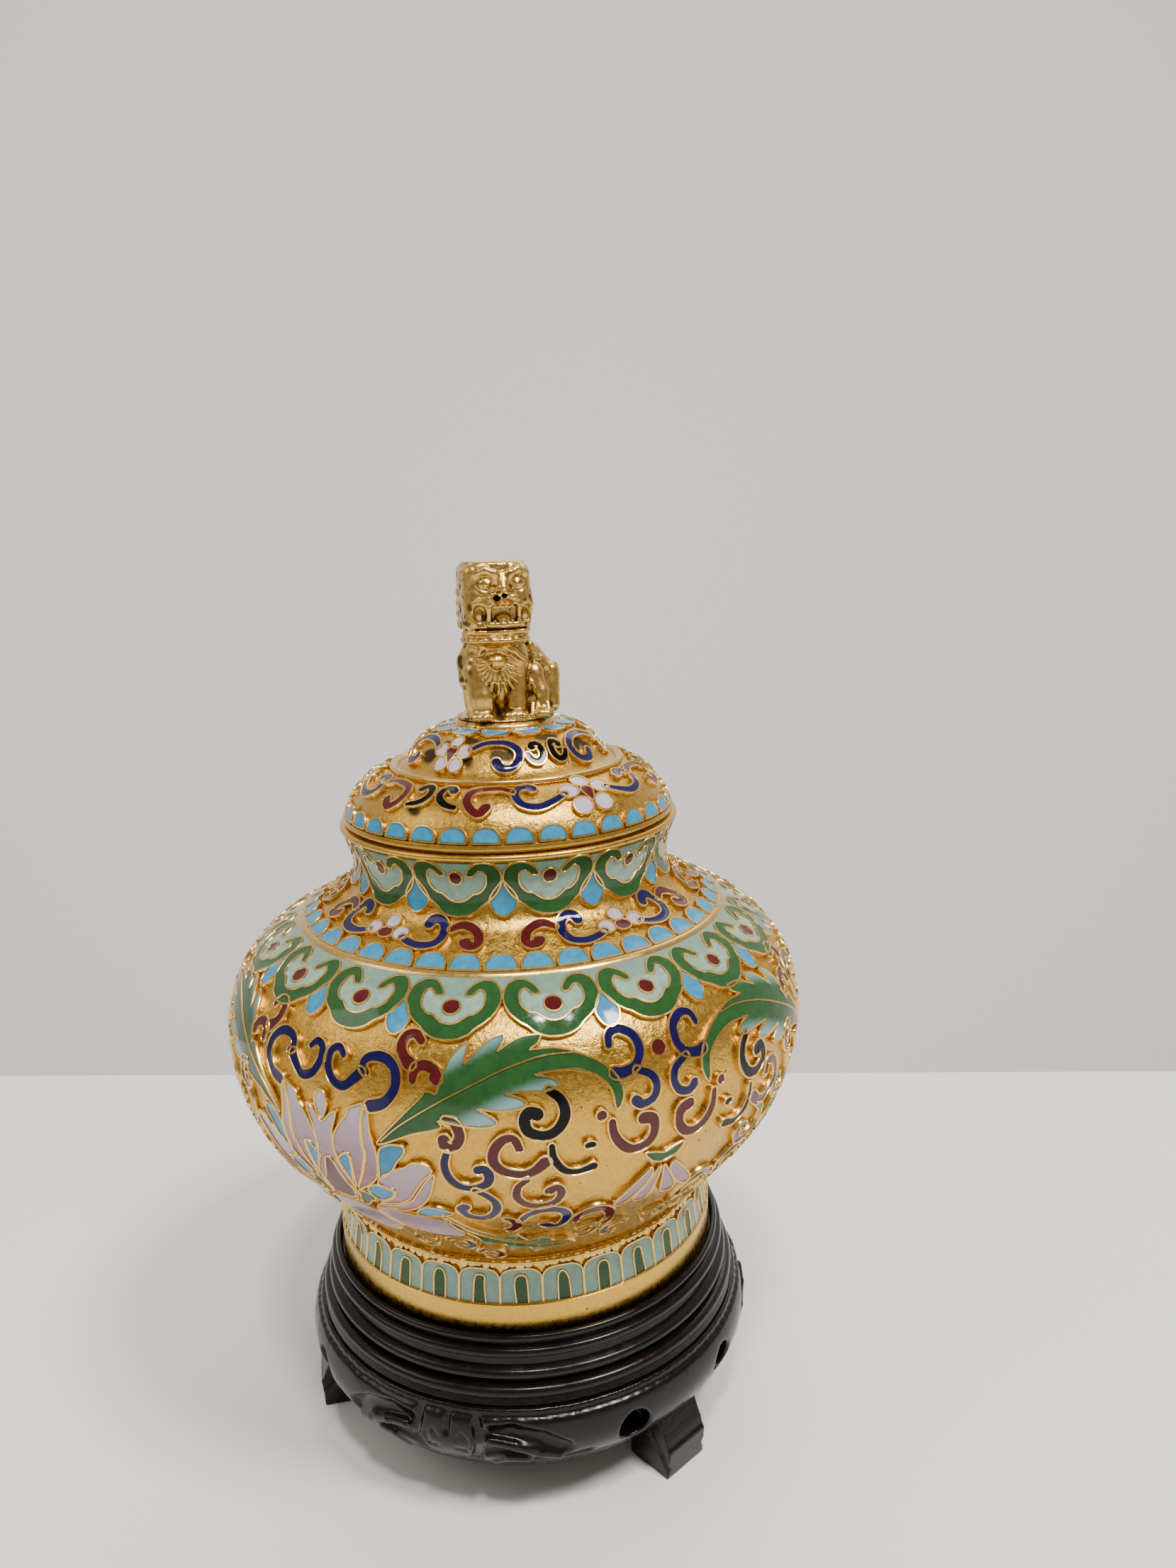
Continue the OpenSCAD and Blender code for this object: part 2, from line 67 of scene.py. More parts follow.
# ---- materials ----
class Paint:
    """A node material while it is being put together."""

    def __init__(self, name, **sockets):
        self.material = bpy.data.materials.new(name)
        self.material.use_nodes = True
        self.tree = self.material.node_tree
        self.shader = self.tree.nodes["Principled BSDF"]
        for key, value in sockets.items():
            self.shader.inputs[key.replace("_", " ")].default_value = value
        self.where = self.tree.nodes.new("ShaderNodeTexCoord").outputs["Object"]

    def node(self, kind, **inputs):
        made = self.tree.nodes.new(kind)
        for key, value in inputs.items():
            self.join(value, made.inputs[key])
        return made

    def join(self, value, socket):
        if isinstance(value, bpy.types.NodeSocket):
            self.tree.links.new(value, socket)
        else:
            socket.default_value = value

    def noise(self, size, detail=2, rough=0.5, stretch=None):
        """Soft noise whose blotches are about size mm wide."""
        where = self.where
        if stretch:
            where = self.node("ShaderNodeVectorMath", Vector=where)
            where.operation = "MULTIPLY"
            where.inputs[1].default_value = stretch
            where = where.outputs[0]
        made = self.node("ShaderNodeTexNoise", Vector=where, Scale=1 / (size * MM), Detail=detail)
        made.inputs["Roughness"].default_value = rough
        return made.outputs[0]

    def ramp(self, value, *stops):
        """Maps a value through (place, grey or colour) stops."""
        made = self.node("ShaderNodeValToRGB", Fac=value)
        points = made.color_ramp.elements
        while len(points) < len(stops):
            points.new(1)
        for point, (place, tint) in zip(points, stops):
            point.position = place
            point.color = (tint, tint, tint, 1) if isinstance(tint, (int, float)) else (*tint, 1)
        return made.outputs[0]

    def mix(self, amount, a, b):
        made = self.node("ShaderNodeMix")
        made.data_type = "RGBA"
        for value, socket in ((amount, made.inputs[0]), (a, made.inputs[6]), (b, made.inputs[7])):
            self.join((*value, 1) if isinstance(value, tuple) else value, socket)
        return made.outputs[2]

    def math(self, what, a, b):
        made = self.node("ShaderNodeMath")
        made.operation = what
        self.join(a, made.inputs[0])
        self.join(b, made.inputs[1])
        return made.outputs[0]

    def drive(self, socket, value):
        """Lets a node's value decide one of the shader's inputs."""
        self.join(value, self.shader.inputs[socket])

    def attribute(self, name):
        made = self.node("ShaderNodeAttribute")
        made.attribute_name = name
        return made.outputs["Fac"]

    def bump(self, *layers):
        """Raises the surface by (height, strength, depth in mm) layers."""
        normal = None
        for height, strength, depth in layers:
            made = self.node("ShaderNodeBump", Height=height, Strength=strength, Distance=depth * MM)
            if normal:
                self.join(normal, made.inputs["Normal"])
            normal = made.outputs[0]
        self.drive("Normal", normal)


def shade(tint, amount):
    return tuple(channel * amount for channel in tint)


def enamel(name, tint, tip=None, speck=0.5, ior=1.4):
    """Fired enamel: clouded glass with fine pits, darker where it meets the wire, paler at tips."""
    paint = Paint(name, IOR=ior)
    clouds = paint.ramp(paint.noise(1.3, 3), (0.3, 0), (0.7, 1))
    body = paint.mix(clouds, shade(tint, 0.82), shade(tint, 1.14))
    if tip:
        body = paint.mix(paint.attribute("tone"), body, tip)
    grain = paint.ramp(paint.noise(0.22, 3, 0.6), (0.66, 0), (0.74, speck))
    body = paint.mix(grain, body, shade(tint, 0.25))
    body = paint.mix(paint.ramp(paint.attribute("rim"), (0.0, 0.45), (0.6, 0)), body, shade(tint, 0.45))
    paint.drive("Base Color", body)
    paint.drive("Roughness", paint.ramp(paint.noise(0.6), (0.3, 0.06), (0.7, 0.14)))
    paint.bump((paint.noise(1.6, 2), 0.2, 0.04), (grain, 0.3, -0.02))
    return paint.material


def gilding(name, tint, grain, age, rough=(0.2, 0.4)):
    """Gilt metal: grain is the depth of its fine texture in mm, age how much dark patina shows."""
    paint = Paint(name, Metallic=1.0)
    colour = paint.mix(paint.noise(2.5, 4), shade(tint, 0.86), tint)
    colour = paint.mix(paint.ramp(paint.noise(0.5, 3), (0.35, 0.35), (0.6, 0)), colour, shade(tint, 0.62))
    spots = paint.math("MULTIPLY", paint.noise(3.0, 3, 0.6), paint.noise(0.5, 3, 0.6))
    spots = paint.ramp(spots, (0.40 - 0.14 * age, 0), (0.46 - 0.14 * age, 0.9))
    # Darker where the point value is high: dark patina on the lid and lion, and on the lion also painted
    # shade in its crevices
    grime = paint.math("MAXIMUM", spots, paint.attribute("grime"))
    paint.drive("Base Color", paint.mix(grime, colour, (0.035, 0.024, 0.015)))
    wear = paint.ramp(paint.noise(0.8, 3), (0.3, rough[0]), (0.7, rough[1]))
    paint.drive("Roughness", paint.math("MAXIMUM", wear, paint.math("MULTIPLY", grime, 0.6)))
    paint.bump((paint.noise(0.9, 3, 0.55), 0.7, grain * 2.2), (paint.noise(0.28, 3, 0.6), 0.7, grain))
    return paint.material


def lacquer(name):
    """Near-black lacquer over carved wood: brush marks, dust in the gloss, pale wood on worn edges."""
    paint = Paint(name, IOR=1.38)
    wood = paint.noise(5, 4, 0.6, stretch=(1, 1, 5))
    colour = paint.mix(wood, (0.002, 0.0015, 0.0015), (0.008, 0.004, 0.0035))
    chips = paint.math("MULTIPLY", paint.attribute("edge"), paint.noise(3.2, 4, 0.65))
    chips = paint.ramp(chips, (0.55, 0), (0.6, 1))
    colour = paint.mix(chips, colour, (0.42, 0.25, 0.13))
    dust = paint.ramp(paint.noise(0.4, 3, 0.7), (0.66, 0), (0.8, 0.1))
    paint.drive("Base Color", paint.mix(dust, colour, (0.1, 0.085, 0.08)))
    paint.drive("Roughness", paint.ramp(paint.noise(2.0, 4), (0.3, 0.16), (0.75, 0.34)))
    paint.bump((wood, 0.25, 0.12), (paint.noise(1.1, 3), 0.3, 0.06))
    return paint.material


def floor_paint():
    paint = Paint("pale_floor")
    paint.drive("Base Color", paint.mix(paint.noise(60, 3), (0.86, 0.855, 0.85), (0.9, 0.895, 0.89)))
    paint.drive("Roughness", paint.ramp(paint.noise(8, 3), (0.3, 0.45), (0.7, 0.6)))
    return paint.material


GOLD = (0.69, 0.405, 0.07)
PAINTS = {
    "turquoise": enamel("turquoise_enamel", (0.035, 0.25, 0.45)),
    "green": enamel("green_enamel", (0.02, 0.08, 0.02), tip=(0.22, 0.38, 0.38), speck=0.3),
    "celadon": enamel("celadon_enamel", (0.25, 0.39, 0.31), tip=(0.19, 0.36, 0.35)),
    "burgundy": enamel("burgundy_enamel", (0.08, 0.006, 0.008), speck=0.3),
    "cobalt": enamel("cobalt_enamel", (0.006, 0.004, 0.06), speck=0.2),
    "lilac": enamel("lilac_enamel", (0.34, 0.16, 0.2), tip=(0.52, 0.46, 0.53), speck=0.35),
    "black": enamel("black_enamel", (0.0015, 0.0015, 0.002), speck=0.0, ior=1.28),
    "ground": gilding("gilt_ground", GOLD, 0.08, 0.15),
    "wire": gilding("gilt_wire", (0.8, 0.52, 0.15), 0.006, 0.05, (0.2, 0.32)),
    "band": gilding("gilt_band", (0.72, 0.44, 0.075), 0.0015, 0.05, (0.22, 0.34)),
    "cast": gilding("cast_gilding", (0.74, 0.47, 0.13), 0.015, 0.4, (0.18, 0.38)),
    "lacquer": lacquer("black_lacquer"),
}


# ---- pieces ----
class Piece:
    """Gathers points in mm, faces and point values for one mesh, then makes it an object."""

    def __init__(self, name, paint):
        self.name = name
        self.paints = [paint]
        self.points = []
        self.faces = []
        self.kinds = []
        self.values = {"tone": [], "rim": [], "grime": [], "edge": []}
        self.count = 0

    def add(self, points, faces, paint=None, **values):
        """Adds points (N x 3) with faces that index them, in the given paint."""
        points = np.asarray(points, float).reshape(-1, 3)
        paint = paint or self.paints[0]
        if paint not in self.paints:
            self.paints.append(paint)
        self.points.append(points)
        self.faces.extend([[i + self.count for i in face] for face in faces])
        self.kinds.extend([self.paints.index(paint)] * len(faces))
        for key, kept in self.values.items():
            kept.append(np.broadcast_to(np.asarray(values.get(key, 0.0), float), (len(points),)))
        self.count += len(points)

    def done(self, body, *nodes, sharp=40):
        mesh = bpy.data.meshes.new(self.name)
        mesh.from_pydata((np.concatenate(self.points) * MM).tolist(), [], self.faces)
        for paint in self.paints:
            mesh.materials.append(PAINTS[paint])
        mesh.polygons.foreach_set("material_index", self.kinds)
        for key, kept in self.values.items():
            layer = mesh.attributes.new(key, "FLOAT", "POINT")
            layer.data.foreach_set("value", np.concatenate(kept))
        mesh.shade_smooth()
        mesh.set_sharp_from_angle(angle=math.radians(sharp))
        mesh.validate()
        piece = bpy.data.objects.new(self.name, mesh)
        bpy.context.scene.collection.objects.link(piece)
        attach(piece, body)
        if nodes:
            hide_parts(*nodes)
        return piece


def ripple(points, size, seed, waves=28):
    """Smooth random heights of about -1 to 1 at points, with bumps about size mm wide."""
    rng = np.random.default_rng(seed)
    ways = rng.normal(size=(waves, 3))
    ways *= (math.pi / size * rng.uniform(0.6, 1.4, waves) / np.linalg.norm(ways, axis=1))[:, None]
    return np.sin(points @ ways.T + rng.uniform(0, 2 * math.pi, waves)).sum(axis=1) / math.sqrt(waves)


def ring_faces(rows, columns, closed_rows=False):
    """Quads of a grid whose columns run all the way round."""
    faces = []
    for i in range(rows if closed_rows else rows - 1):
        a, b = i * columns, (i + 1) % rows * columns
        faces += [[a + j, a + (j + 1) % columns, b + (j + 1) % columns, b + j] for j in range(columns)]
    return faces


def turned(piece, outline, around=360, paint=None, rough=0.0, grime=None):
    """Spins a closed outline of (r, z) points, in anticlockwise order, about the axis."""
    outline = np.array(outline)
    angles = np.linspace(0, 2 * math.pi, around, endpoint=False)
    r, z = outline[:, :1], outline[:, 1:]
    points = np.stack([r * np.cos(angles), r * np.sin(angles), z + 0 * angles], axis=-1).reshape(-1, 3)
    if rough:
        points += rough * ripple(points, 2.2, 5)[:, None] * [0.7, 0.7, 0.3]
    piece.add(points, ring_faces(len(outline), around, True), paint, grime=grime(points) if grime else 0)


def turned_piece(name, paint, body, node, outline, around=360, **look):
    """A piece that is one turned solid, in place of a CAD node."""
    piece = Piece(name, paint)
    turned(piece, outline, around, **look)
    piece.done(body, node)


def arc(x, y, r, start, end, steps=8):
    """Points on an arc, angles in degrees."""
    angles = np.radians(np.linspace(start, end, steps + 1))
    return [(x + r * math.cos(a), y + r * math.sin(a)) for a in angles]


class Outline:
    """A turned outline: the length s along it gives radius, height and outward normal."""

    def __init__(self, points):
        self.points = np.array(points)
        steps = np.hypot(*np.diff(self.points, axis=0).T)
        self.s = np.concatenate([[0], np.cumsum(steps)])
        self.length = self.s[-1]

    def radius(self, s):
        return np.interp(s, self.s, self.points[:, 0])

    def height(self, s):
        return np.interp(s, self.s, self.points[:, 1])

    def at(self, s, d):
        """(r, z) at length s, d outside the outline."""
        e = 0.3
        dr = self.radius(s + e) - self.radius(s - e)
        dz = self.height(s + e) - self.height(s - e)
        n = np.hypot(dr, dz)
        return self.radius(s) + d * dz / n, self.height(s) - d * dr / n

    def place(self, angle, s, d):
        r, z = self.at(np.asarray(s, float), d)
        a = np.radians(angle)
        return np.stack([r * np.sin(a), -r * np.cos(a), z + 0 * a], axis=-1)

    def degree(self, s):
        """Width in mm of one degree at length s."""
        return self.radius(s) * math.pi / 180


# Thicknesses, and how deep each face lies under the outline that the wires' tops follow
RELIEF = 0.6
COPPER = 0.7
LINING = 0.25
GROUND = -RELIEF
BACK = GROUND - COPPER
INSIDE = BACK - LINING
FLOOR_DEPTH = GROUND - 0.02
WIRE = 0.38
AXIS = 0.01  # the radius at which a turned disc closes
FOOT_RADIUS = 31.4
JAR = Outline([(FOOT_RADIUS, 27), (FOOT_RADIUS, 33.2), (31.2, 33.3), (30.3, 39.6)]
              + arc(18.8, 68.5, 27.24, -41, 0, 40) + arc(29.6, 69.5, 16.44, 0, 61.5, 40)
              + arc(29.6, 93.5, 4.5, 241.5, 180, 16) + arc(36.7, 93.5, 11.6, 180, 151, 16)
              + [(26.8, 99.75)])
LID = Outline([(26.2, 100.7)] + arc(16.6, 99.4, 9.6, 14, 80, 30) + arc(18.6, 113, 4, 266, 210, 16)
              + arc(8.5, 107.2, 7.6, 30, 90, 24) + [(7, 114.8)])


# ---- curves on a wall ----
def smooth(line, points, closed=False, step=0.3):
    """A smooth curve through (angle, s) points, evenly spaced; a point given twice is a corner."""
    p = np.array(points, float)
    n = len(p)
    curve = []
    t = np.linspace(0, 1, 10, endpoint=False)[:, None]
    for i in range(n if closed else n - 1):
        p0, p1, p2, p3 = (p[j % n] if closed else p[min(max(j, 0), n - 1)] for j in range(i - 1, i + 3))
        if np.allclose(p1, p2):
            continue
        curve.append(p1 + t * (p2 - p0) / 2 + t ** 2 * (p0 - 2.5 * p1 + 2 * p2 - p3 / 2)
                     + t ** 3 * (1.5 * (p1 - p2) + (p3 - p0) / 2))
    curve = np.concatenate(curve + [p[:1] if closed else p[-1:]])
    middle = (curve[1:] + curve[:-1]) / 2
    gaps = np.diff(curve, axis=0)
    far = np.concatenate([[0], np.cumsum(np.hypot(gaps[:, 0] * line.degree(middle[:, 1]), gaps[:, 1]))])
    places = np.linspace(0, far[-1], max(int(far[-1] / step), 4) + 1)
    even = np.stack([np.interp(places, far, curve[:, i]) for i in (0, 1)], axis=1)
    return even[:-1] if closed else even


def side(line, path, closed=False):
    """Unit vectors across a path, in (angle, s) units per mm."""
    if closed:
        along = np.roll(path, -1, axis=0) - np.roll(path, 1, axis=0)
    else:
        along = np.gradient(path, axis=0)
    k = line.degree(path[:, 1])
    x, y = along[:, 0] * k, along[:, 1]
    n = np.maximum(np.hypot(x, y), 1e-9)
    return np.stack([-y / n / k, x / n], axis=1)


def stroke(line, points, width, start=0.7, bulb=1.25):
    """The wire line round a brush stroke: it swells from its start and ends in a round bulb."""
    path = smooth(line, points, step=0.25)
    t = np.linspace(0, 1, len(path))
    grow = start + (1 - start) * np.clip(t / 0.3, 0, 1)
    swell = 1 + (bulb - 1) * np.clip((t - 0.8) / 0.15, 0, 1)
    half = width / 2 * grow * swell + WIRE / 2
    across = side(line, path)
    rim = [path + half[:, None] * across]
    for i, turn in ((-1, -1), (0, 1)):
        k = line.degree(path[i, 1])
        base = math.atan2(across[i, 1], across[i, 0] * k)
        angles = base - np.linspace(0.12, 0.88, 6) * math.pi + (math.pi if turn > 0 else 0)
        rim.append(path[i] + half[i] * np.stack([np.cos(angles) / k, np.sin(angles)], axis=1))
        if turn < 0:
            rim.append((path - half[:, None] * across)[::-1])
    return np.concatenate(rim)


def inside(points, rim):
    """Which points (N x 2) lie inside a closed rim."""
    x, y = points[:, :1], points[:, 1:]
    x0, y0 = rim[:, 0], rim[:, 1]
    x1, y1 = np.roll(x0, -1), np.roll(y0, -1)
    gap = np.where(y1 == y0, 1e-12, y1 - y0)
    crossing = ((y0 > y) != (y1 > y)) & (x < x0 + (y - y0) * (x1 - x0) / gap)
    return crossing.sum(axis=1) % 2 == 1


def cell(piece, line, rim, depth=-0.07, dish=0.06, paint=None, tone=None, grid=0.6, holes=()):
    """Fills a closed rim with enamel, slightly hollow, closed below at the gilt ground."""
    middle = rim.mean(axis=0)
    scale = [line.degree(middle[1]), 1]
    loops = [(loop - middle) * scale for loop in (rim, *holes)]
    flat, edge = loops[0], np.concatenate(loops)
    # spots in rows inside the rim, and how far each is from it
    low, high = flat.min(axis=0), flat.max(axis=0)
    x, y = np.meshgrid(np.arange(low[0], high[0], grid), np.arange(low[1], high[1], grid))
    shifts = (np.arange(y.size) // y.shape[1] % 2) * grid / 2
    spots = np.stack([x.ravel() + shifts, y.ravel()], axis=1)
    spots = spots[inside(spots, flat)]
    gap = np.sqrt(((spots[:, None] - edge[None]) ** 2).sum(axis=2)).min(axis=1)
    spots, gap = spots[gap > grid * 0.45], gap[gap > grid * 0.45]
    edges = []
    begin = 0
    for loop in loops:
        n = len(loop)
        edges += [(begin + i, begin + (i + 1) % n) for i in range(n)]
        begin += n
    given = [Vector(p) for p in np.concatenate([edge, spots])]
    points, _, faces, origin, _, _ = delaunay_2d_cdt(given, edges, [list(range(len(flat)))], 1, 1e-5)
    points = np.array([tuple(p) for p in points])
    centres = np.array([points[f].mean(axis=0) for f in faces])
    keep = inside(centres, flat)
    for hole in loops[1:]:
        keep &= ~inside(centres, hole)
    faces = [list(f) for f, good in zip(faces, keep) if good]
    # top, bottom and the walls between them
    source = np.array([o[0] if o else -1 for o in origin])
    away = np.where(source < 0, 0, np.concatenate([np.zeros(len(edge)), gap])[source])
    places = points / scale + middle
    top = line.place(places[:, 0], places[:, 1], depth - dish * np.clip(away / 0.8, 0, 1))
    bottom = line.place(places[:, 0], places[:, 1], FLOOR_DEPTH)
    n = len(points)
    sides = dict.fromkeys((a, b) for f in faces for a, b in zip(f, f[1:] + f[:1]))
    walls = [[b, a, a + n, b + n] for a, b in sides if (b, a) not in sides]
    solid = faces + [[i + n for i in reversed(f)] for f in faces] + walls
    tones = np.zeros(n) if tone is None else np.clip(tone(places[:, 0], places[:, 1]), 0, 1)
    piece.add(np.concatenate([top, bottom]), solid, paint, tone=np.tile(tones, 2),
              rim=np.tile(np.clip(away / 0.5, 0, 1), 2))


def wire(piece, line, path, closed=True, width=WIRE, top=0.05):
    """A flat wire standing on edge along a path, rounded on top by polishing."""
    half = width / 2
    section = [(-half, FLOOR_DEPTH), (-half, -0.07), (-0.6 * half, top), (0.6 * half, top), (half, -0.07),
               (half, FLOOR_DEPTH)]
    across = side(line, path, closed)
    rows = [line.place(*(path + offset * across).T, d) for offset, d in section]
    n, m = len(path), len(section)
    points = np.stack(rows, axis=1).reshape(-1, 3)
    faces = []
    for i in range(n if closed else n - 1):
        a, b = i * m, (i + 1) % n * m
        faces += [[a + j, a + (j + 1) % m, b + (j + 1) % m, b + j] for j in range(m)]
    if not closed:
        faces += [list(range(m))[::-1], [(n - 1) * m + j for j in range(m)]]
    piece.add(points, faces, "wire")


def inlay(piece, wires, line, rim, width=WIRE, top=0.05, **fill):
    """A cell of enamel with a wire round it."""
    cell(piece, line, rim, **fill)
    wire(wires, line, rim, width=width, top=top)


def circle(line, angle, s, r, tall=1.0, steps=28):
    """A round rim of radius r mm, tall times as high as it is wide."""
    t = np.linspace(0, 2 * math.pi, steps, endpoint=False)
    return np.stack([angle + r * np.cos(t) / line.degree(s), s + tall * r * np.sin(t)], axis=1)


def strip(piece, line, s0, s1, depth, paint=None, rows=10, around=720):
    """A turned band of enamel from s0 to s1, closed below."""
    s = np.linspace(s0, s1, rows)
    top = list(zip(*line.at(s, depth)))
    low = list(zip(*line.at(s, FLOOR_DEPTH)))
    turned(piece, low[::-1] + top, around, paint)


def mirrored(half):
    """A closed outline from its right half, given from the middle below to the middle above."""
    return half + [(-x, y) for x, y in reversed(half) if abs(x) > 1e-6]


# ---- jar: metal ----
def wall_solid(line, s0, s1, step, outer, inner):
    """Closed outline of a wall between two depths."""
    s = np.arange(s0, s1 + step / 2, step)
    return list(zip(*line.at(s, inner)))[::-1] + list(zip(*line.at(s, outer)))


FOOT_TOP_S = 12.8
MOUTH_S = 86.8


def jar_metal():
    turned_piece("jar_wall", "ground", "vase", "body_shell",
                 wall_solid(JAR, FOOT_TOP_S, MOUTH_S, 0.4, GROUND, BACK), 640, rough=0.035)
    turned_piece("jar_mouth", "band", "vase", "mouth_ring",
                 [JAR.at(MOUTH_S, BACK), JAR.at(MOUTH_S, GROUND), (26.35, 99.2)]
                 + arc(26.3, 99.8, 0.5, -60, 80, 8) + [(25.35, 100.4), (25.2, 100.65), (23.9, 100.65),
                                                       (23.9, 99.4)])
    turned_piece("foot_band", "band", "vase", "foot_ring",
                 [(FOOT_RADIUS - 1.1, 26.5), (31.25, 26.5), (FOOT_RADIUS, 26.75), (FOOT_RADIUS, 33.05),
                  (31.25, 33.2), (30.8, 33.25), (29.8, 39.9), (28.7, 39.9), (29.7, 33.2)])
    turned_piece("jar_base_plate", "ground", "vase", "base_disc",
                 [(AXIS, 37.6), (28, 37.6), (28.6, 37.9), (28.6, 38.3), (28.2, 38.5), (AXIS, 38.5)], 180)
    turned_piece("jar_base_enamel", "turquoise", "vase", "base_enamel",
                 [(AXIS, 37.35), (20, 37.3), (27.6, 37.32), (28, 37.5), (28, 37.62), (AXIS, 37.62)], 180)
    s = np.linspace(MOUTH_S, FOOT_TOP_S + 0.2, 120)
    face = list(zip(*JAR.at(s, INSIDE)))
    back = list(zip(*JAR.at(s[::-1], BACK)))
    turned_piece("jar_lining", "turquoise", "vase", "lining_enamel",
                 [(AXIS, 38.5), (28.2, 38.5), (28.65, 39.6)] + back + face + [(27.6, 38.9), (AXIS, 38.75)],
                 240)
    turned_piece("foot_wire_ring_polished", "wire", "vase", "foot_wire_ring",
                 [(29.9, 39.0)] + arc(30.15, 39.35, 0.32, -80, 70, 6) + [(29.85, 39.7)])


# ---- jar: foot petals ----
PETALS = 31
PETAL_PHASE = 1.5


def foot_petals():
    petals = Piece("foot_petals_celadon", "celadon")
    cores = Piece("foot_petal_cores_green", "green")
    wires = Piece("foot_wires", "wire")
    step = 360 / PETALS
    half = step / 2 - 0.15
    top = [(-half, 6.35), (half, 6.35), (half, 6.35), (half, 9.6), (half * 0.93, 10.8), (half * 0.6, 11.5),
           (0, 11.65), (-half * 0.6, 11.5), (-half * 0.93, 10.8), (-half, 9.6), (-half, 6.35)]
    core = [(-1.7, 6.4), (1.8, 6.4), (1.8, 6.4), (1.75, 9.2), (1.2, 10.4), (0, 10.8), (-1.2, 10.4),
            (-1.65, 9.2), (-1.7, 6.4)]
    rng = np.random.default_rng(31)
    for i in range(PETALS):
        turn = np.array([PETAL_PHASE + i * step, 0])
        lean = rng.uniform(-0.3, 0.3, len(core))
        petal_rim = smooth(JAR, np.array(top) + turn, closed=True)
        core_line = np.array(core) + np.stack([lean, 0.4 * lean], axis=1) + turn
        core_rim = smooth(JAR, core_line, closed=True)
        cell(petals, JAR, petal_rim, depth=-0.12, dish=0.03, holes=[core_rim],
             tone=lambda a, s: (11.5 - s) / 9)
        cell(cores, JAR, core_rim, depth=-0.1, dish=0.03)
        wire(wires, JAR, petal_rim, width=0.34)
        wire(wires, JAR, smooth(JAR, core_line[2:]), closed=False, width=0.34)
        # rough beads of spilled gilding above each petal
        for x in np.linspace(-0.75, 0.75, 5) * half:
            bead = circle(JAR, turn[0] + x + rng.uniform(-0.4, 0.4), 12.35 + rng.uniform(-0.15, 0.15),
                          rng.uniform(0.45, 0.7), 1.1, 12)
            cell(wires, JAR, bead, depth=rng.uniform(-0.2, 0.05), dish=-0.25, paint="wire", grid=0.3)
    petals.done("vase", "foot_petals")
    cores.done("vase", "foot_petal_cores")
    wires.done("vase")


# ---- jar: lappets of the collar and the neck ----
LAPPET_OUT = [(0, -4.7), (0.22, -4.5), (0.4, -3.9), (0.52, -3.1), (0.68, -2.3), (0.86, -1.0), (0.97, 0.7),
              (0.97, 2.4), (0.88, 3.7), (0.72, 4.4), (0.54, 4.4), (0.38, 3.7), (0.26, 2.6), (0.24, 1.9)]
LAPPET_IN = [(0.31, 1.7), (0.38, 1.8), (0.46, 2.4), (0.54, 2.8), (0.63, 2.3), (0.66, 1.3), (0.62, 0),
             (0.48, -1.0), (0.36, -1.2), (0.25, -1.8), (0.14, -2.3), (0, -2.5)]


def lappets(name, count, phase, middle, tall, dot, band, drop, replaced, no_drop=()):
    """A row of cloud-headed lappets with drops between them, hanging from a pale band.

    dot is (height above the middle, radius, height over width), band its two lengths s, and drop is
    (s, height, half width in degrees).
    """
    pitch = 360 / count
    greens = Piece(name + "_lappets_green", "green")
    pale = Piece(name + "_ground_celadon", "celadon")
    drops = Piece(name + "_drops_turquoise", "turquoise")
    wires = Piece(name + "_wires", "wire")
    strip(pale, JAR, *band, -0.13)
    outer = [(x * pitch / 2, y * tall) for x, y in LAPPET_OUT]
    inner = [(x * pitch / 2, y * tall) for x, y in LAPPET_IN]
    head = mirrored(outer + inner)
    opening = mirrored(inner[::-1] + outer[-1:])
    rng = np.random.default_rng(count)
    for i in range(count):
        turn = np.array([phase + i * pitch, middle])
        rim = smooth(JAR, np.array(head) + turn, closed=True)
        inlay(greens, wires, JAR, rim, depth=-0.05, dish=0.05)
        cell(pale, JAR, smooth(JAR, np.array(opening) + turn, closed=True), depth=-0.09, dish=0.03)
        spot = circle(JAR, turn[0], middle + dot[0], dot[1] * rng.uniform(0.93, 1.07), dot[2])
        inlay(greens, wires, JAR, spot, 0.36, 0.08, depth=0.0, dish=0.04, paint="burgundy", grid=0.4)
        if i in no_drop:
            continue
        half = [(x * drop[2], y) for x, y in ((0, 0), (0.55, 0.12), (0.9, 0.36), (1, 0.6))]
        half += [(0.8 * drop[2], 0.85), (0.45 * drop[2], 1.1), (0, 1.35)]
        shape = [(x, y * drop[1]) for x, y in mirrored(half)]
        rim = smooth(JAR, np.array(shape) + [phase + (i + 0.5) * pitch, drop[0]], closed=True)
        inlay(drops, wires, JAR, rim, depth=-0.08)
    greens.done("vase", replaced[0])
    pale.done("vase", replaced[1])
    drops.done("vase", replaced[2])
    wires.done("vase")


# ---- jar: shoulder ----
SHOULDER_FLOWERS = 5
SHOULDER_PHASE = -35.5


def scales(piece, wires, line, count, phase, s0, tall, half):
    """A row of half-round scales standing on a ring at length s0; half is in degrees."""
    for i in range(count):
        shape = [(-half, 0), (half, 0), (half, 0), (half, tall * 0.35), (half * 0.8, tall * 0.75),
                 (half * 0.35, tall), (-half * 0.35, tall), (-half * 0.8, tall * 0.75), (-half, tall * 0.35),
                 (-half, 0)]
        rim = smooth(line, np.array(shape) + [phase + i * 360 / count, s0], closed=True, step=0.25)
        inlay(piece, wires, line, rim, depth=-0.06, grid=0.5)


def petal(angle, s, wide, tall):
    """An oval petal rim, wide in degrees and tall in mm."""
    t = np.linspace(0, 2 * math.pi, 20, endpoint=False)
    return np.stack([angle + wide * np.cos(t), s + tall * np.sin(t)], axis=1)


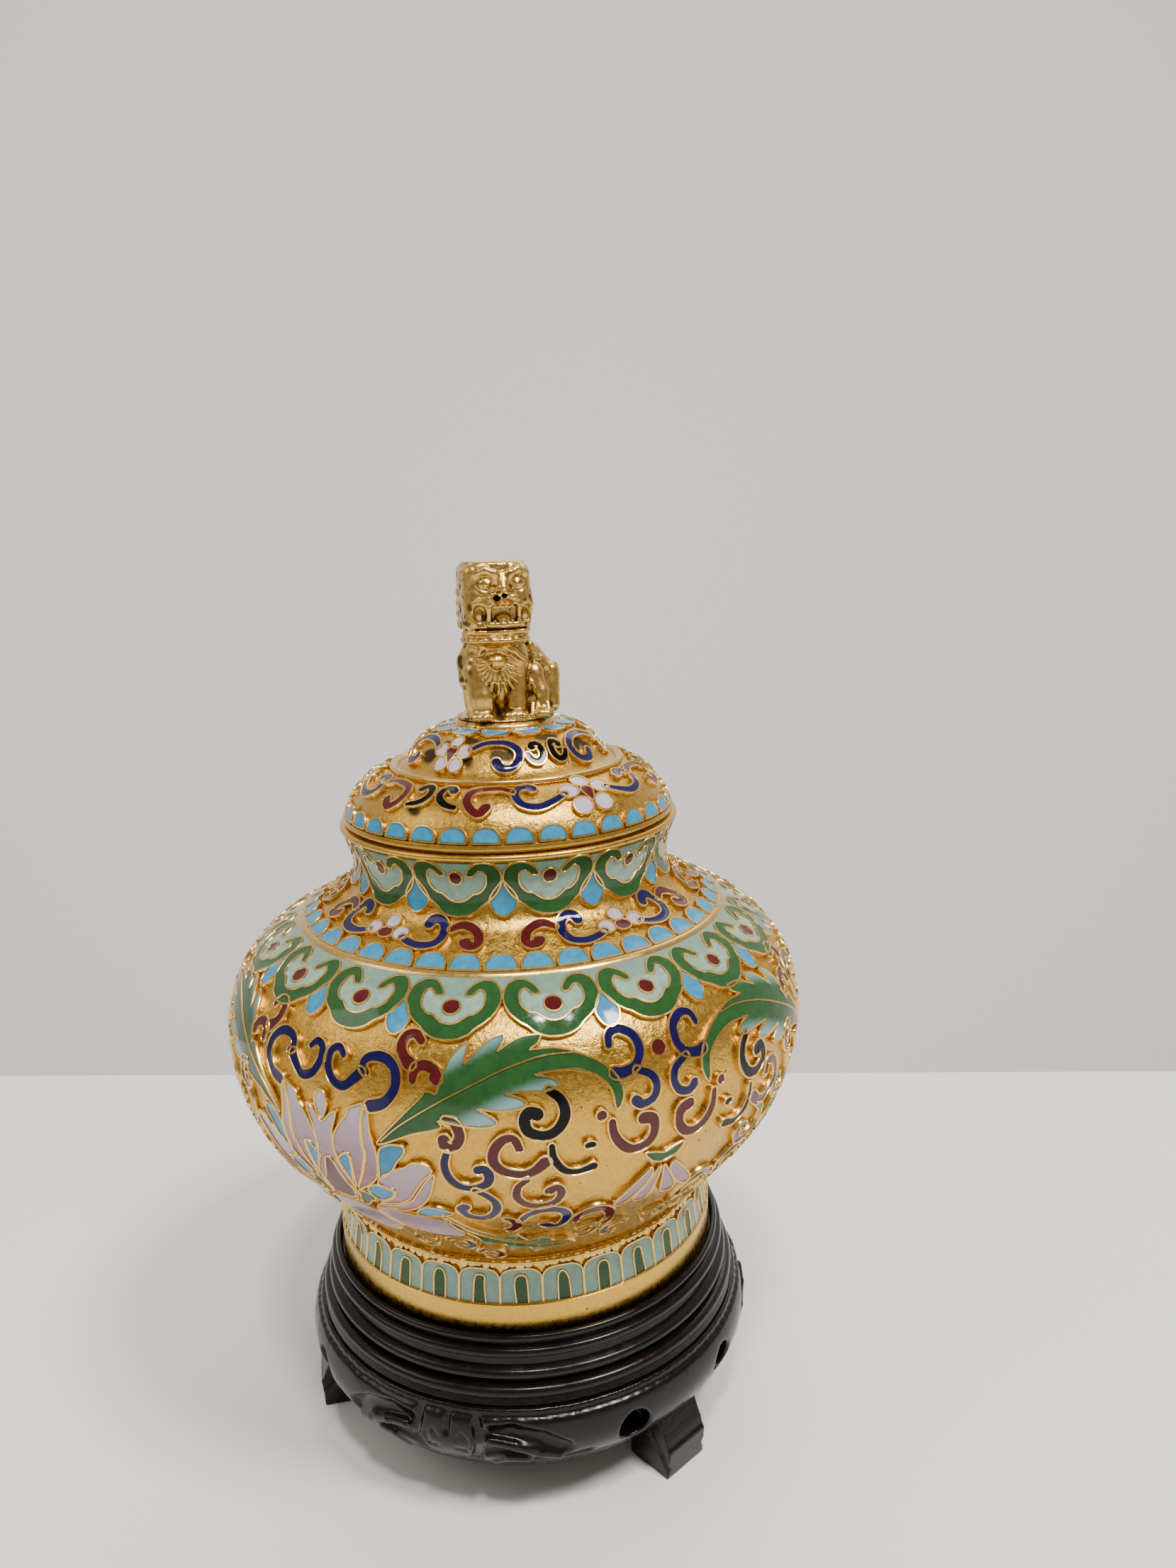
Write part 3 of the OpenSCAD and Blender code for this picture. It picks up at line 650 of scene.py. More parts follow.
def shoulder():
    scale_piece = Piece("shoulder_scales_turquoise", "turquoise")
    wires = Piece("shoulder_wires", "wire")
    scales(scale_piece, wires, JAR, count=41, phase=0.5, s0=70.05, tall=2.75, half=3.85)
    scale_piece.done("vase", "shoulder_scales")
    s = np.linspace(68.85, 70.0, 5)
    crest = [JAR.at(place, depth) for place, depth in zip(s, (-0.1, 0.04, 0.07, 0.04, -0.1))]
    turned_piece("shoulder_ring", "wire", "vase", "shoulder_wire_ring",
                 list(zip(*JAR.at(s, FLOOR_DEPTH)))[::-1] + crest, 640)
    flowers = Piece("shoulder_flowers_lilac", "lilac")
    cobalt = Piece("shoulder_scrolls_cobalt", "cobalt")
    burgundy = Piece("shoulder_scrolls_burgundy", "burgundy")
    pitch = 360 / SHOULDER_FLOWERS
    cobalt_line = [(6.5, 74.7), (10, 74), (13.5, 73.8), (17, 74.4), (18.7, 76), (17.9, 77.8), (15.7, 78.5),
                   (13.5, 78.2), (12.9, 77.6)]
    burgundy_line = [(20.5, 77), (23, 77.7), (26, 77.6), (28.7, 76.6), (29.5, 75), (28.2, 74.2),
                     (26.5, 74.4), (25.7, 74.9)]
    for i in range(SHOULDER_FLOWERS):
        turn = np.array([SHOULDER_PHASE + i * pitch, 0])
        for x, s, wide, tall in ((0, 77.1, 2.8, 1.2), (-5.2, 75.4, 2.8, 1.25), (5.2, 75.4, 2.8, 1.25)):
            rim = petal(turn[0] + x, s, wide, tall)
            inlay(flowers, wires, JAR, rim, 0.36, depth=-0.06, tone=lambda a, s: 0.9 + 0 * a)
        heart = petal(turn[0], 75, 2.6, 1.0)
        inlay(flowers, wires, JAR, heart, 0.36, 0.08, depth=0, dish=0.03, paint="burgundy")
        for sign in (-1, 1):
            for piece, points, width in ((cobalt, cobalt_line, 1.1), (burgundy, burgundy_line, 1.15)):
                inlay(piece, wires, JAR, stroke(JAR, np.array(points) * [sign, 1] + turn, width), 0.36)
    flowers.done("vase", "shoulder_flowers")
    cobalt.done("vase", "shoulder_cobalt_scrolls")
    burgundy.done("vase", "shoulder_burgundy_scrolls")
    wires.done("vase")


# ---- jar: belly ----
# The belly's pattern runs from a lotus to a hanging flower, is mirrored at both, and repeats 3 times.
LOTUS_AT = -31.5
HANGING_AT = 28.5
BLOOMS = 3

COBALT_STROKES = [
    (1.1, [(-27.7, 55.9), (-28.9, 56.7), (-30.4, 56.1), (-30.6, 54.5), (-29.6, 52.8), (-28, 52),
           (-26.5, 52), (-25, 53), (-23.7, 54)]),
    (1.2, [(-22.6, 54.2), (-23.5, 54.9), (-22.9, 56), (-20.7, 56.5), (-18.5, 56), (-17, 54.4),
           (-17.2, 52.4), (-18.9, 50.7), (-21.3, 50)]),
    (1.1, [(-8.5, 44.4), (-9, 42.7), (-8.5, 40.7), (-6.8, 39.2), (-4.6, 38.9), (-2.4, 39.7), (-1.8, 41),
           (-2.4, 42), (-3.4, 42)]),
    (1.0, [(-4.4, 38.5), (-2.4, 37.4), (-1.1, 35.7), (-1.6, 33.7), (-3.7, 32.5), (-6.4, 33), (-7.4, 34.4),
           (-6.6, 35.1)]),
    (1.1, [(19.5, 57.2), (20, 58.6), (22, 59), (24.3, 57.8), (24.8, 55.7), (23.5, 54), (21, 53.4),
           (19.8, 53.6)]),
    (1.0, [(23.6, 53.4), (26, 52.4), (26.8, 50.9), (26, 49.3), (24, 48.8), (22.8, 49.5)]),
    (1.1, [(2.8, 31.3), (4.5, 33), (7, 33.8), (9.8, 33.4), (11.3, 31.7), (10.8, 29.3), (9, 28.4),
           (7.3, 29.3)]),
    (0.9, [(-14, 22.5), (-11.8, 23.4), (-9.5, 22.6), (-8.8, 20.6), (-10.4, 19.4), (-12, 20)]),
    (0.9, [(25.8, 23.6), (23.4, 24.2), (21.4, 22.8), (21.6, 20.8), (23.6, 20.2)]),
]
BURGUNDY_STROKES = [
    (1.2, [(-13.3, 59), (-14.6, 59.9), (-16.3, 59.5), (-16.8, 58), (-15.9, 56.7), (-14.8, 56)]),
    (1.2, [(-14, 54), (-13.7, 55.4), (-12.2, 56), (-10.5, 55.4), (-10, 54.4)]),
    (1.2, [(-8.3, 49.2), (-6.8, 48.7), (-6.1, 47), (-7, 45.7), (-8.5, 45.5), (-8.7, 46.4)]),
    (1.2, [(3.3, 45.1), (2.5, 46.5), (0.8, 46.5), (-0.7, 45.1), (-0.9, 43.2), (0.8, 41.7), (3.3, 41.1),
           (5.5, 41.5), (7.3, 42.8)]),
    (1.0, [(4.3, 40.1), (2.8, 39), (2.5, 37), (4, 35.5), (6.5, 34.9), (9, 35.5), (10, 37), (9.3, 38.2),
           (8, 37.8)]),
    (1.2, [(18.5, 47.2), (18.8, 45.5), (20, 43.8), (22, 42.6), (24.5, 42.8), (26, 44.3), (25.8, 46.3),
           (24, 46.8)]),
    (1.2, [(0.3, 32), (1.8, 30.9), (2, 29.3), (0.8, 28.2)]),
    (1.2, [(13.3, 29), (13.5, 30.5), (15.5, 31.8), (18, 31.7), (19.8, 30.1), (20.5, 27.8), (20, 25.5)]),
    (0.9, [(-8, 17.6), (-6, 18.8), (-3.6, 18.2), (-2.8, 16.4), (-4.4, 15.2), (-6, 15.8)]),
    (0.9, [(14.6, 25.4), (17, 26.2), (18.6, 24.8), (17.8, 22.8), (15.6, 22.6)]),
    (0.9, [(-18, 21.5), (-20.4, 22.2), (-22, 20.6), (-20.8, 18.8), (-18.8, 19.2)]),
]
BLACK_STROKES = [
    (1.3, [(8.5, 52.6), (10.3, 51.3), (10.8, 49.3), (9.5, 47.4), (7.3, 46.7), (5, 47.4), (4.3, 48.8),
           (5, 49.9), (6.3, 49.7)]),
    (0.9, [(8.5, 45.1), (8.8, 43.2), (10.3, 41.3), (12.5, 40.6), (15.3, 41.1)]),
]
RIB_WIRE_PLACES = 7  # the rest of a rib's places follow the stem
LEAF_RIB = [(-19.7, 45.3), (-16, 48), (-10.6, 50.9), (-4.1, 53.7), (1.9, 55.8), (8.1, 57), (13.4, 57),
            (16.6, 54.9), (19, 52.6), (20, 50.4)]
LEAF = [(-20.4, 44.8), (-16, 49), (-12.6, 51.8), (-11.9, 52.7), (-11.9, 52.7), (-10.8, 52.7), (-10, 52.4),
        (-10, 52.4), (-9.2, 54.1), (-8.2, 56.5), (-6.5, 58.4), (-4.7, 59.2), (-4.7, 59.2), (-5.1, 58),
        (-5.4, 56.2), (-5.4, 56.2), (-4.1, 57.4), (-1.5, 59.3), (1.2, 60.2), (1.2, 60.2), (1.4, 59.3),
        (0.1, 57.8), (0.1, 57.8), (2.2, 58.9), (4.7, 59.7), (7.9, 59.8), (7.9, 59.8), (7.4, 58.8),
        (5.6, 57.9), (5.6, 57.9), (10.1, 57.9), (13.6, 57), (17, 55.6), (19.8, 53.5), (20.8, 51), (19.9, 49),
        (19.2, 49.2), (18.6, 51.9), (16, 54), (11.4, 55), (6.2, 54.7), (6.2, 54.7), (9, 54.2), (10.2, 53.3),
        (8.2, 52.6), (4.5, 52.7), (1.2, 52.6), (1.2, 52.6), (3.6, 52), (4.8, 51.2), (3.2, 50.5),
        (-0.2, 50.4), (-3.3, 50.8), (-3.3, 50.8), (-1.3, 49.9), (0, 49), (-1.1, 48.3), (-4.2, 48.3),
        (-7, 48.7), (-9.6, 49.1), (-9.6, 49.1), (-9, 48.2), (-10.6, 47.6), (-14.2, 46.8)]
LOW_LEAF_RIB = [(-11, 32), (-8.6, 28.5), (-5.5, 25.6), (-1, 23.3), (4, 21.5), (9, 20.6), (14, 20.3)]
LOW_LEAF = [(-11.4, 32), (-9.8, 28), (-7, 24.8), (-5.6, 21.2), (-5.6, 21.2), (-3.4, 21.6), (-1.2, 21.4),
            (-0.4, 18.8), (-0.4, 18.8), (2, 19.5), (4.2, 19.6), (5.4, 17.6), (5.4, 17.6), (8, 18.6),
            (11, 18.8), (15, 19.6), (15, 19.6), (12.6, 21.4), (9.5, 22), (8, 24.4), (8, 24.4), (5.6, 23.6),
            (3.6, 23.4), (1.6, 26), (1.6, 26), (-0.6, 25.4), (-3.6, 26.4), (-7.6, 29.2), (-10.6, 32.4)]
CRESCENT = [(24.6, 41.2), (26.5, 41), (28.5, 40.5), (30.5, 41), (32.4, 41.2), (30.9, 39.6), (28.5, 38.9),
            (26.1, 39.6)]
HANGING_PETALS = [
    [(26.3, 38.2), (25, 37.4), (22.5, 35.1), (20.3, 32.4), (21, 31.5), (23, 32.4), (25, 34.3),
     (26.6, 36.6)],
    [(27, 36.7), (25, 34), (24, 32), (25.5, 31.4), (27.3, 32.2), (27.9, 35.1), (28.2, 38.2)],
]
# Lotus shapes give the angle from the bloom's middle
LOTUS_MIDDLE = [(0, 32.2), (2.6, 32.4), (3.4, 33.8), (4, 36.2), (3, 38.7), (2.2, 40.6), (1.9, 42),
                (1.9, 43.7), (2.2, 45.4), (2.9, 46.9), (3.4, 48.3), (3.4, 48.3), (2.2, 47.8), (1, 46.8),
                (0, 46.2)]
LOTUS_HEART = [(0, 32.8), (2.2, 33), (3, 33.9), (3.2, 35.3), (2.2, 36.8), (1.4, 38.8), (0.8, 40.1),
               (0, 40.6)]
LOTUS_TIP = [(0, 46.6), (0.9, 47.6), (1.3, 49), (0.9, 50.2), (0, 50.7)]
# Paint, the length at which a lilac petal is palest, and the outline
LOTUS_PETALS = [
    ("lilac", 49, [(2.6, 41.2), (1.9, 42.4), (2.1, 43.7), (2.8, 45.2), (4.3, 47), (5.4, 48), (6, 49.2),
                   (8.8, 50.2), (8.8, 50.2), (8.2, 47.7), (8, 44.7), (8.2, 42.7), (7.5, 40.7), (6.5, 38.7),
                   (4.7, 36.2), (5, 39.4), (5.2, 41.4), (4.7, 42.2), (3.7, 42)]),
    ("lilac", 49, [(9.2, 50), (9.7, 48.7), (9.9, 46), (10.6, 43.4), (10.4, 40.7), (9.5, 38.7), (6.9, 36.7),
                   (4.8, 35.8), (6.8, 38.7), (7.8, 40.7), (8.5, 42.7), (8.3, 44.7), (8.5, 47.7)]),
    ("turquoise", 0, [(2.6, 41), (3.4, 41.7), (4.5, 42.1), (5, 41.4), (4.8, 39.4), (4, 37), (2.8, 38.9),
                      (1.8, 40.5)]),
    ("turquoise", 0, [(11.2, 43.7), (12.1, 44.5), (13.8, 45), (15.8, 44.9), (15.6, 43.7), (14.3, 42.4),
                      (13, 40.7), (11.2, 39.7), (10.2, 38.7), (10.6, 40.4), (10.8, 42)]),
    ("lilac", 42, [(9.7, 37.9), (10.4, 39), (11.9, 39.8), (13.4, 40.9), (15.4, 41.6), (16.7, 42.4),
                   (18.4, 42.6), (19.9, 42.1), (20.1, 41.2), (18.4, 39.7), (16.7, 37.7), (15.2, 35.9),
                   (13, 34.5), (10.4, 33.8), (8.4, 33.5), (10.8, 34.7), (12.3, 35.9), (12.6, 37),
                   (11.2, 37.4)]),
    ("lilac", 42, [(20.6, 41.1), (20.1, 39.4), (19.3, 37.4), (17.8, 35.4), (15.6, 33.7), (12.5, 32.5),
                   (9.5, 32.2), (6.9, 32), (8.6, 33.2), (10.8, 33.4), (13.2, 34.2), (15.5, 35.5),
                   (17, 37.3), (18.7, 39.4)]),
    ("turquoise", 0, [(6.9, 35.5), (7.5, 36.9), (9.5, 37.5), (11.2, 37.2), (12.2, 36.8), (12.1, 36),
                      (10.8, 35), (9.1, 34.2), (8.1, 34.5)]),
    ("green", 0, [(4.3, 35.1), (6, 35.3), (7.6, 34.7), (7.4, 33.7), (6.5, 33.4), (5.6, 32.5), (4.5, 31.9),
                  (3.5, 32.4), (4.1, 33.6)]),
    ("turquoise", 0, [(15.3, 32), (16.2, 33.5), (18, 34.3), (20.4, 34.1), (22.4, 33.3), (20.4, 32.4),
                      (17.8, 31.9)]),
    ("lilac", 26, [(6.6, 31.5), (10, 31.9), (14.7, 31.7), (17.8, 31.3), (20.4, 30.8), (22.5, 29.4),
                   (23.2, 27), (21.7, 25), (18.2, 24.4), (13.8, 24.5), (10.4, 26), (7.8, 28.4)]),
    ("lilac", 22, [(0, 31.6), (3.6, 31.4), (6, 30), (7.2, 27.8), (9, 25.8), (7, 23.6), (3.4, 22.4),
                   (0, 22)]),
]


def belly_copies(points, both=True):
    """The points repeated round the belly, mirrored at each bloom when both is set."""
    shape = np.array(points, float)
    for i in range(BLOOMS):
        centre = LOTUS_AT + i * 360 / BLOOMS
        yield np.stack([centre + shape[:, 0] - LOTUS_AT, shape[:, 1]], axis=1)
        if both:
            yield np.stack([centre - shape[:, 0] + LOTUS_AT, shape[:, 1]], axis=1)


def from_rib(rib, reach):
    """The tone of a leaf: 0 near its rib, 1 at about reach mm from it."""
    path = smooth(JAR, rib, step=0.8)

    def tone(angle, s):
        gap = np.stack([(angle[:, None] - path[:, 0]) * JAR.degree(s)[:, None], s[:, None] - path[:, 1]])
        return (np.sqrt((gap ** 2).sum(axis=0)).min(axis=1) / reach - 0.55) / 0.4

    return tone


def belly_scrolls(wires):
    scrolls = {"cobalt": COBALT_STROKES, "burgundy": BURGUNDY_STROKES, "black": BLACK_STROKES}
    # Dots: angle, s, radius, height over width, and whether they are mirrored
    dots = {"cobalt": [],
            "burgundy": [(16.8, 48.4, 0.8, 1, True), (HANGING_AT, 55.5, 1.15, 1, False)],
            "black": [(14.8, 44.5, 0.9, 0.7, True)]}
    for colour, strokes in scrolls.items():
        piece = Piece("belly_scrolls_" + colour, colour)
        for width, points in strokes:
            for copy in belly_copies(points):
                inlay(piece, wires, JAR, stroke(JAR, copy, width))
        for angle, s, r, tall, both in dots[colour]:
            for copy in belly_copies([(angle, s)], both):
                inlay(piece, wires, JAR, circle(JAR, copy[0, 0], s, r, tall))
        piece.done("vase", "belly_%s_scrolls" % colour)


def belly_leaves(wires):
    piece = Piece("belly_leaves_green", "green")
    for shape, rib, reach in ((LEAF, LEAF_RIB, 4.6), (LOW_LEAF, LOW_LEAF_RIB, 3.2)):
        for outline, spine in zip(belly_copies(shape), belly_copies(rib)):
            inlay(piece, wires, JAR, smooth(JAR, outline, closed=True), tone=from_rib(spine, reach))
            wire(wires, JAR, smooth(JAR, spine[:RIB_WIRE_PLACES]), closed=False, width=0.3)
    for outline in belly_copies(CRESCENT, False):
        inlay(piece, wires, JAR, smooth(JAR, outline, closed=True))
    piece.done("vase", "belly_leaves")


def belly_lotuses(wires):
    piece = Piece("belly_lotuses_lilac", "lilac")

    def add(points, both, paint, tip, depth=-0.07):
        """Adds petals; lilac grows paler up to length tip, or downwards where tip is low."""
        pale = (lambda a, s: 0.95 - (tip - s) / 10) if tip > 30 else (lambda a, s: 0.3 + (31.5 - s) / 16)
        for copy in belly_copies(points, both):
            inlay(piece, wires, JAR, smooth(JAR, copy, closed=True), depth=depth, paint=paint,
                  tone=pale if paint == "lilac" else None)

    def from_bloom(shape):
        return [(LOTUS_AT + x, s) for x, s in shape]

    for paint, tip, shape in LOTUS_PETALS:
        if shape[0][0] == 0:
            add(from_bloom(mirrored(shape)), False, paint, tip)
        else:
            add(from_bloom(shape), True, paint, tip)
    for paint, tip, half, depth in (("lilac", 48, LOTUS_MIDDLE, -0.05), ("lilac", 49, LOTUS_TIP, -0.05),
                                    ("burgundy", 0, LOTUS_HEART, -0.02)):
        add(from_bloom(mirrored(half)), False, paint, tip, depth)
    for shape in HANGING_PETALS:
        add(shape, True, "lilac", 42)
    piece.done("vase", "belly_lotuses")


def belly():
    wires = Piece("belly_wires", "wire")
    belly_scrolls(wires)
    belly_leaves(wires)
    belly_lotuses(wires)
    wires.done("vase")


# ---- lid ----
LID_FLOWERS = 3
BRIM_PHASE = 35
BELL_PHASE = -31

# Strokes give the angle from the flower's middle, and are mirrored
BRIM_STROKES = [
    ("cobalt", 0.95, [(9.5, 8.1), (15, 7), (21, 6.3), (26.5, 7), (28.5, 8.8), (26.8, 10.1), (23.6, 10.4),
                      (21.4, 9.8)]),
    ("burgundy", 1.0, [(29.5, 9.4), (34, 10.3), (40, 10.2), (44.8, 9.6), (46.4, 8), (44.6, 6.4),
                       (41.4, 5.6), (39, 6.6)]),
    ("black", 0.9, [(50.4, 6.5), (54.6, 7), (57.6, 8.3), (57.2, 9.8), (54.6, 10.3), (52.6, 9.6)]),
]
BELL_STROKES = [
    ("cobalt", 0.95, [(13, 18.6), (20, 19.7), (28, 20), (36, 19.7), (42, 18.3), (41.6, 16.7), (37.4, 15.4),
                      (32, 15.4), (29, 16.4)]),
    ("black", 0.85, [(47.5, 17.4), (50, 16.4), (53.6, 16.2), (56.4, 17.2), (56, 18.7), (53.4, 19.4),
                     (50.8, 18.7)]),
]
BRIM_PETALS = [(0, 10.4, 3.9, 1.4), (-7.2, 8.6, 4.1, 1.35), (7.2, 8.6, 4.1, 1.35), (-4.4, 5.7, 3.9, 1.45),
               (4.4, 5.7, 3.9, 1.45)]
BELL_PETALS = [(0, 19.9, 4.9, 1.3), (-8.6, 18.2, 4.9, 1.2), (8.6, 18.2, 4.9, 1.2), (-5.0, 15.8, 4.4, 1.3),
               (5.0, 15.8, 4.4, 1.3)]
CROWN_SCALES = 12
CROWN_PHASE = -6


def lid_patina(points):
    """Black patina left between the scrolls of the bell and below its scallops."""
    x, y, z = points.T
    angle = np.degrees(np.arctan2(x, -y))
    bell = np.clip(1 - np.abs(z - 111.6) / 2.2, 0, 1) + 0.9 * np.clip(1 - np.abs(z - 113.6) / 0.8, 0, 1)
    brim = np.clip(1 - np.abs(z - 105.5) / 1.6, 0, 1) * np.clip(1 - np.abs(angle + 33) / 22, 0, 1)
    return np.clip(2.5 * (np.maximum(bell, brim) + 0.55 * ripple(points, 2.0, 8) - 0.75), 0, 0.95)


def lid_metal():
    s = np.concatenate([np.arange(1.1, 12.1, 0.35), np.arange(12.1, LID.length - 1.5, 0.3)])
    inner, outer = list(zip(*LID.at(s, BACK))), list(zip(*LID.at(s, GROUND)))
    turned_piece("lid_wall", "ground", "lid", "lid_shell",
                 inner[::-1] + outer + [(7.6, 114.2), (1.7, 114.2), (1.7, 113.5), (7.4, 113.5)],
                 540, rough=0.03, grime=lid_patina)
    turned_piece("lid_edge_band", "band", "lid", "lid_rim_band",
                 [LID.at(1.1, BACK), (24.1, 101.2), (24.1, 100.72), (25.95, 100.72), (26.15, 100.85),
                  (26.15, 101.3), (26.0, 101.6), LID.at(1.1, GROUND)])
    turned_piece("lid_collar", "band", "lid", "lid_flange",
                 [(22.75, 97.5), (23.3, 97.5), (23.45, 97.7), (23.45, 100.72), (24.1, 100.72),
                  (24.1, 101.2), (22.75, 101.2)])
    s = np.arange(1.3, LID.length - 1.7, 0.5)
    back, face = list(zip(*LID.at(s, BACK))), list(zip(*LID.at(s, INSIDE)))
    turned_piece("lid_inner_enamel", "turquoise", "lid", "lid_lining",
                 back + [(5, 113.5), (5, 113.25)] + face[::-1], 200)
    turned_piece("lid_step_wire", "wire", "lid", "lid_step_ring",
                 [(17.4, 108.25)] + arc(18.0, 108.65, 0.5, -60, 150, 8) + [(17.3, 108.7)])


def lid_enamel():
    wires = Piece("lid_wires", "wire")
    edge = Piece("lid_scales_turquoise", "turquoise")
    scales(edge, wires, LID, count=34, phase=7, s0=1.2, tall=2.2, half=4.35)
    edge.done("lid", "lid_scales")
    flowers = Piece("lid_flowers_lilac", "lilac")
    pieces = {colour: Piece("lid_scrolls_" + colour, colour) for colour in ("cobalt", "burgundy", "black")}
    bands = ((BRIM_PHASE, BRIM_PETALS, BRIM_STROKES, 7.7), (BELL_PHASE, BELL_PETALS, BELL_STROKES, 17.6))
    drop = np.array(mirrored([(0, -1.5), (0.75, -0.2), (1.0, 0.6), (0.6, 1.2), (0, 1.4)]))
    for phase, petals, strokes, heart_s in bands:
        for i in range(LID_FLOWERS):
            turn = np.array([phase + i * 360 / LID_FLOWERS, 0])
            for x, s, wide, tall in petals:
                inlay(flowers, wires, LID, petal(turn[0] + x, s, wide, tall), 0.34, depth=-0.06,
                      tone=lambda a, s: 1 + 0 * a, grid=0.45)
            heart = drop * [1 / LID.degree(heart_s), 1] + [turn[0], heart_s]
            inlay(flowers, wires, LID, smooth(LID, heart, closed=True, step=0.2), 0.34, 0.08, depth=0,
                  dish=0.03, paint="burgundy", grid=0.4)
            for colour, width, points in strokes:
                for sign in (-1, 1):
                    rim = stroke(LID, np.array(points) * [sign, 1] + turn, width)
                    inlay(pieces[colour], wires, LID, rim, 0.34, grid=0.45)
    flowers.done("lid", "lid_flowers")
    for colour, piece in pieces.items():
        piece.done("lid", "lid_%s_scrolls" % colour)
    crown = Piece("crown_scallops_turquoise", "turquoise")
    scallop = mirrored([(0, 21.75), (7, 21.9), (12, 22.6), (14.2, 23.8), (11, 24.5), (0, 24.6)])
    for i in range(CROWN_SCALES):
        turn = [CROWN_PHASE + i * 360 / CROWN_SCALES, 0]
        rim = smooth(LID, np.array(scallop) + turn, closed=True, step=0.25)
        inlay(crown, wires, LID, rim, 0.36, depth=-0.05, grid=0.45)
    crown.done("lid", "crown_scales")
    wires.done("lid")


# ---- lion ----
class Clay:
    """A solid built from blended shapes on a grid of distances, in mm; less than 0 is inside."""

    def __init__(self, low, high, step):
        self.step = step
        self.axes = [np.arange(a, b, step) for a, b in zip(low, high)]
        self.field = np.full([len(a) for a in self.axes], 9.0)

    def _near(self, low, high, margin=1.2):
        cut = []
        for axis, a, b in zip(self.axes, low, high):
            cut.append(slice(np.searchsorted(axis, a - margin), np.searchsorted(axis, b + margin)))
        grid = np.meshgrid(*[axis[c] for axis, c in zip(self.axes, cut)], indexing="ij")
        return tuple(cut), np.stack(grid, axis=-1)

    def _blend(self, cut, d, soft, carve):
        sign = -1 if carve else 1
        a, b = sign * self.field[cut], d
        h = np.clip(0.5 + 0.5 * (b - a) / soft, 0, 1)
        self.field[cut] = sign * (b + (a - b) * h - soft * h * (1 - h))

    def ball(self, centre, radii, soft=0.5, carve=False, turn=None):
        """An ellipsoid, or with turn (a 3 x 3 matrix) a turned one."""
        centre, radii = np.array(centre, float), np.broadcast_to(np.array(radii, float), (3,))
        reach = radii.max()
        cut, where = self._near(centre - reach, centre + reach)
        local = where - centre
        if turn is not None:
            local = local @ turn
        scaled = np.linalg.norm(local / radii, axis=-1)
        slope = np.maximum(np.linalg.norm(local / radii ** 2, axis=-1), 1e-6)
        self._blend(cut, scaled * (scaled - 1) / slope, soft, carve)

    def limb(self, points, radii, soft=0.5, carve=False):
        """A chain of tapering rods through points."""
        points = [np.array(p, float) for p in points]
        radii = [radii] * len(points) if isinstance(radii, (int, float)) else radii
        for p, q, r0, r1 in zip(points, points[1:], radii, radii[1:]):
            reach = max(r0, r1)
            cut, where = self._near(np.minimum(p, q) - reach, np.maximum(p, q) + reach)
            along = q - p
            t = np.clip(((where - p) @ along) / max(along @ along, 1e-9), 0, 1)
            d = np.linalg.norm(where - p - t[..., None] * along, axis=-1) - (r0 + t * (r1 - r0))
            self._blend(cut, d, soft, carve)

    def block(self, centre, half, corner, turn, soft=0.5, carve=False):
        """A box with rounded edges; turn is a 3 x 3 matrix whose columns are its own axes."""
        centre, half = np.array(centre, float), np.array(half, float)
        reach = np.linalg.norm(half)
        cut, where = self._near(centre - reach, centre + reach, 0.6)
        local = np.abs((where - centre) @ turn) - (half - corner)
        d = np.linalg.norm(np.maximum(local, 0), axis=-1) + np.minimum(local.max(axis=-1), 0) - corner
        self._blend(cut, d, soft, carve)

    def shape(self, low, high, distance, soft=0.3, carve=False):
        """A shape given by its own distance function, somewhere between low and high."""
        cut, where = self._near(low, high)
        self._blend(cut, distance(where), soft, carve)

    def surface(self):
        """Points and quads of the surface, and how hollow it is there, from 0 (an edge) to 1 (a pit)."""
        f = self.field
        solid = (f < 0).astype(float)
        for _ in range(10):
            for axis in range(3):
                solid = (np.roll(solid, 1, axis) + solid + np.roll(solid, -1, axis)) / 3
        total = np.zeros([n - 1 for n in f.shape] + [3])
        count = np.zeros([n - 1 for n in f.shape])
        corners = [(i, j, k) for i in (0, 1) for j in (0, 1) for k in (0, 1)]

        def shifted(c):
            return f[tuple(slice(o, o + n - 1) for o, n in zip(c, f.shape))]

        for a in corners:
            for axis in range(3):
                if a[axis]:
                    continue
                b = tuple(v + (i == axis) for i, v in enumerate(a))
                fa, fb = shifted(a), shifted(b)
                crossing = (fa < 0) != (fb < 0)
                t = fa[crossing] / (fa[crossing] - fb[crossing])
                hit = np.repeat(np.array([a], float), len(t), axis=0)
                hit[:, axis] += t
                total[crossing] += hit
                count[crossing] += 1
        used = count > 0
        index = np.full(used.shape, -1)
        index[used] = np.arange(used.sum())
        cells = np.argwhere(used)
        origin = np.array([axis[0] for axis in self.axes])
        points = origin + (cells + total[used] / count[used][:, None]) * self.step
        faces = []
        for axis in range(3):
            u, v = (axis + 1) % 3, (axis + 2) % 3
            here = [slice(1, n - 1) for n in f.shape]
            here[axis] = slice(0, f.shape[axis] - 1)
            ahead = list(here)
            ahead[axis] = slice(1, f.shape[axis])
            a, b = f[tuple(here)], f[tuple(ahead)]
            for sign in (1, -1):
                spot = np.argwhere((a * sign < 0) & (b * sign >= 0) if sign == 1 else (a >= 0) & (b < 0))
                spot = spot + [0 if i == axis else 1 for i in range(3)]
                quad = []
                for du, dv in ((0, 0), (1, 0), (1, 1), (0, 1)):
                    c = spot.copy()
                    c[:, u] -= 1 - du
                    c[:, v] -= 1 - dv
                    quad.append(index[tuple(c.T)])
                quad = np.stack(quad if sign == 1 else quad[::-1], axis=1)
                faces += quad.tolist()
        return points, faces, solid[:-1, :-1, :-1][used]


# The lion's own heights start at the top of its plinth
PLINTH_Z = 115.7
HEAD = np.array([-0.7, -3.4, 18.62])
HEAD_YAW = 15
FACE_SHIFT = 0.5


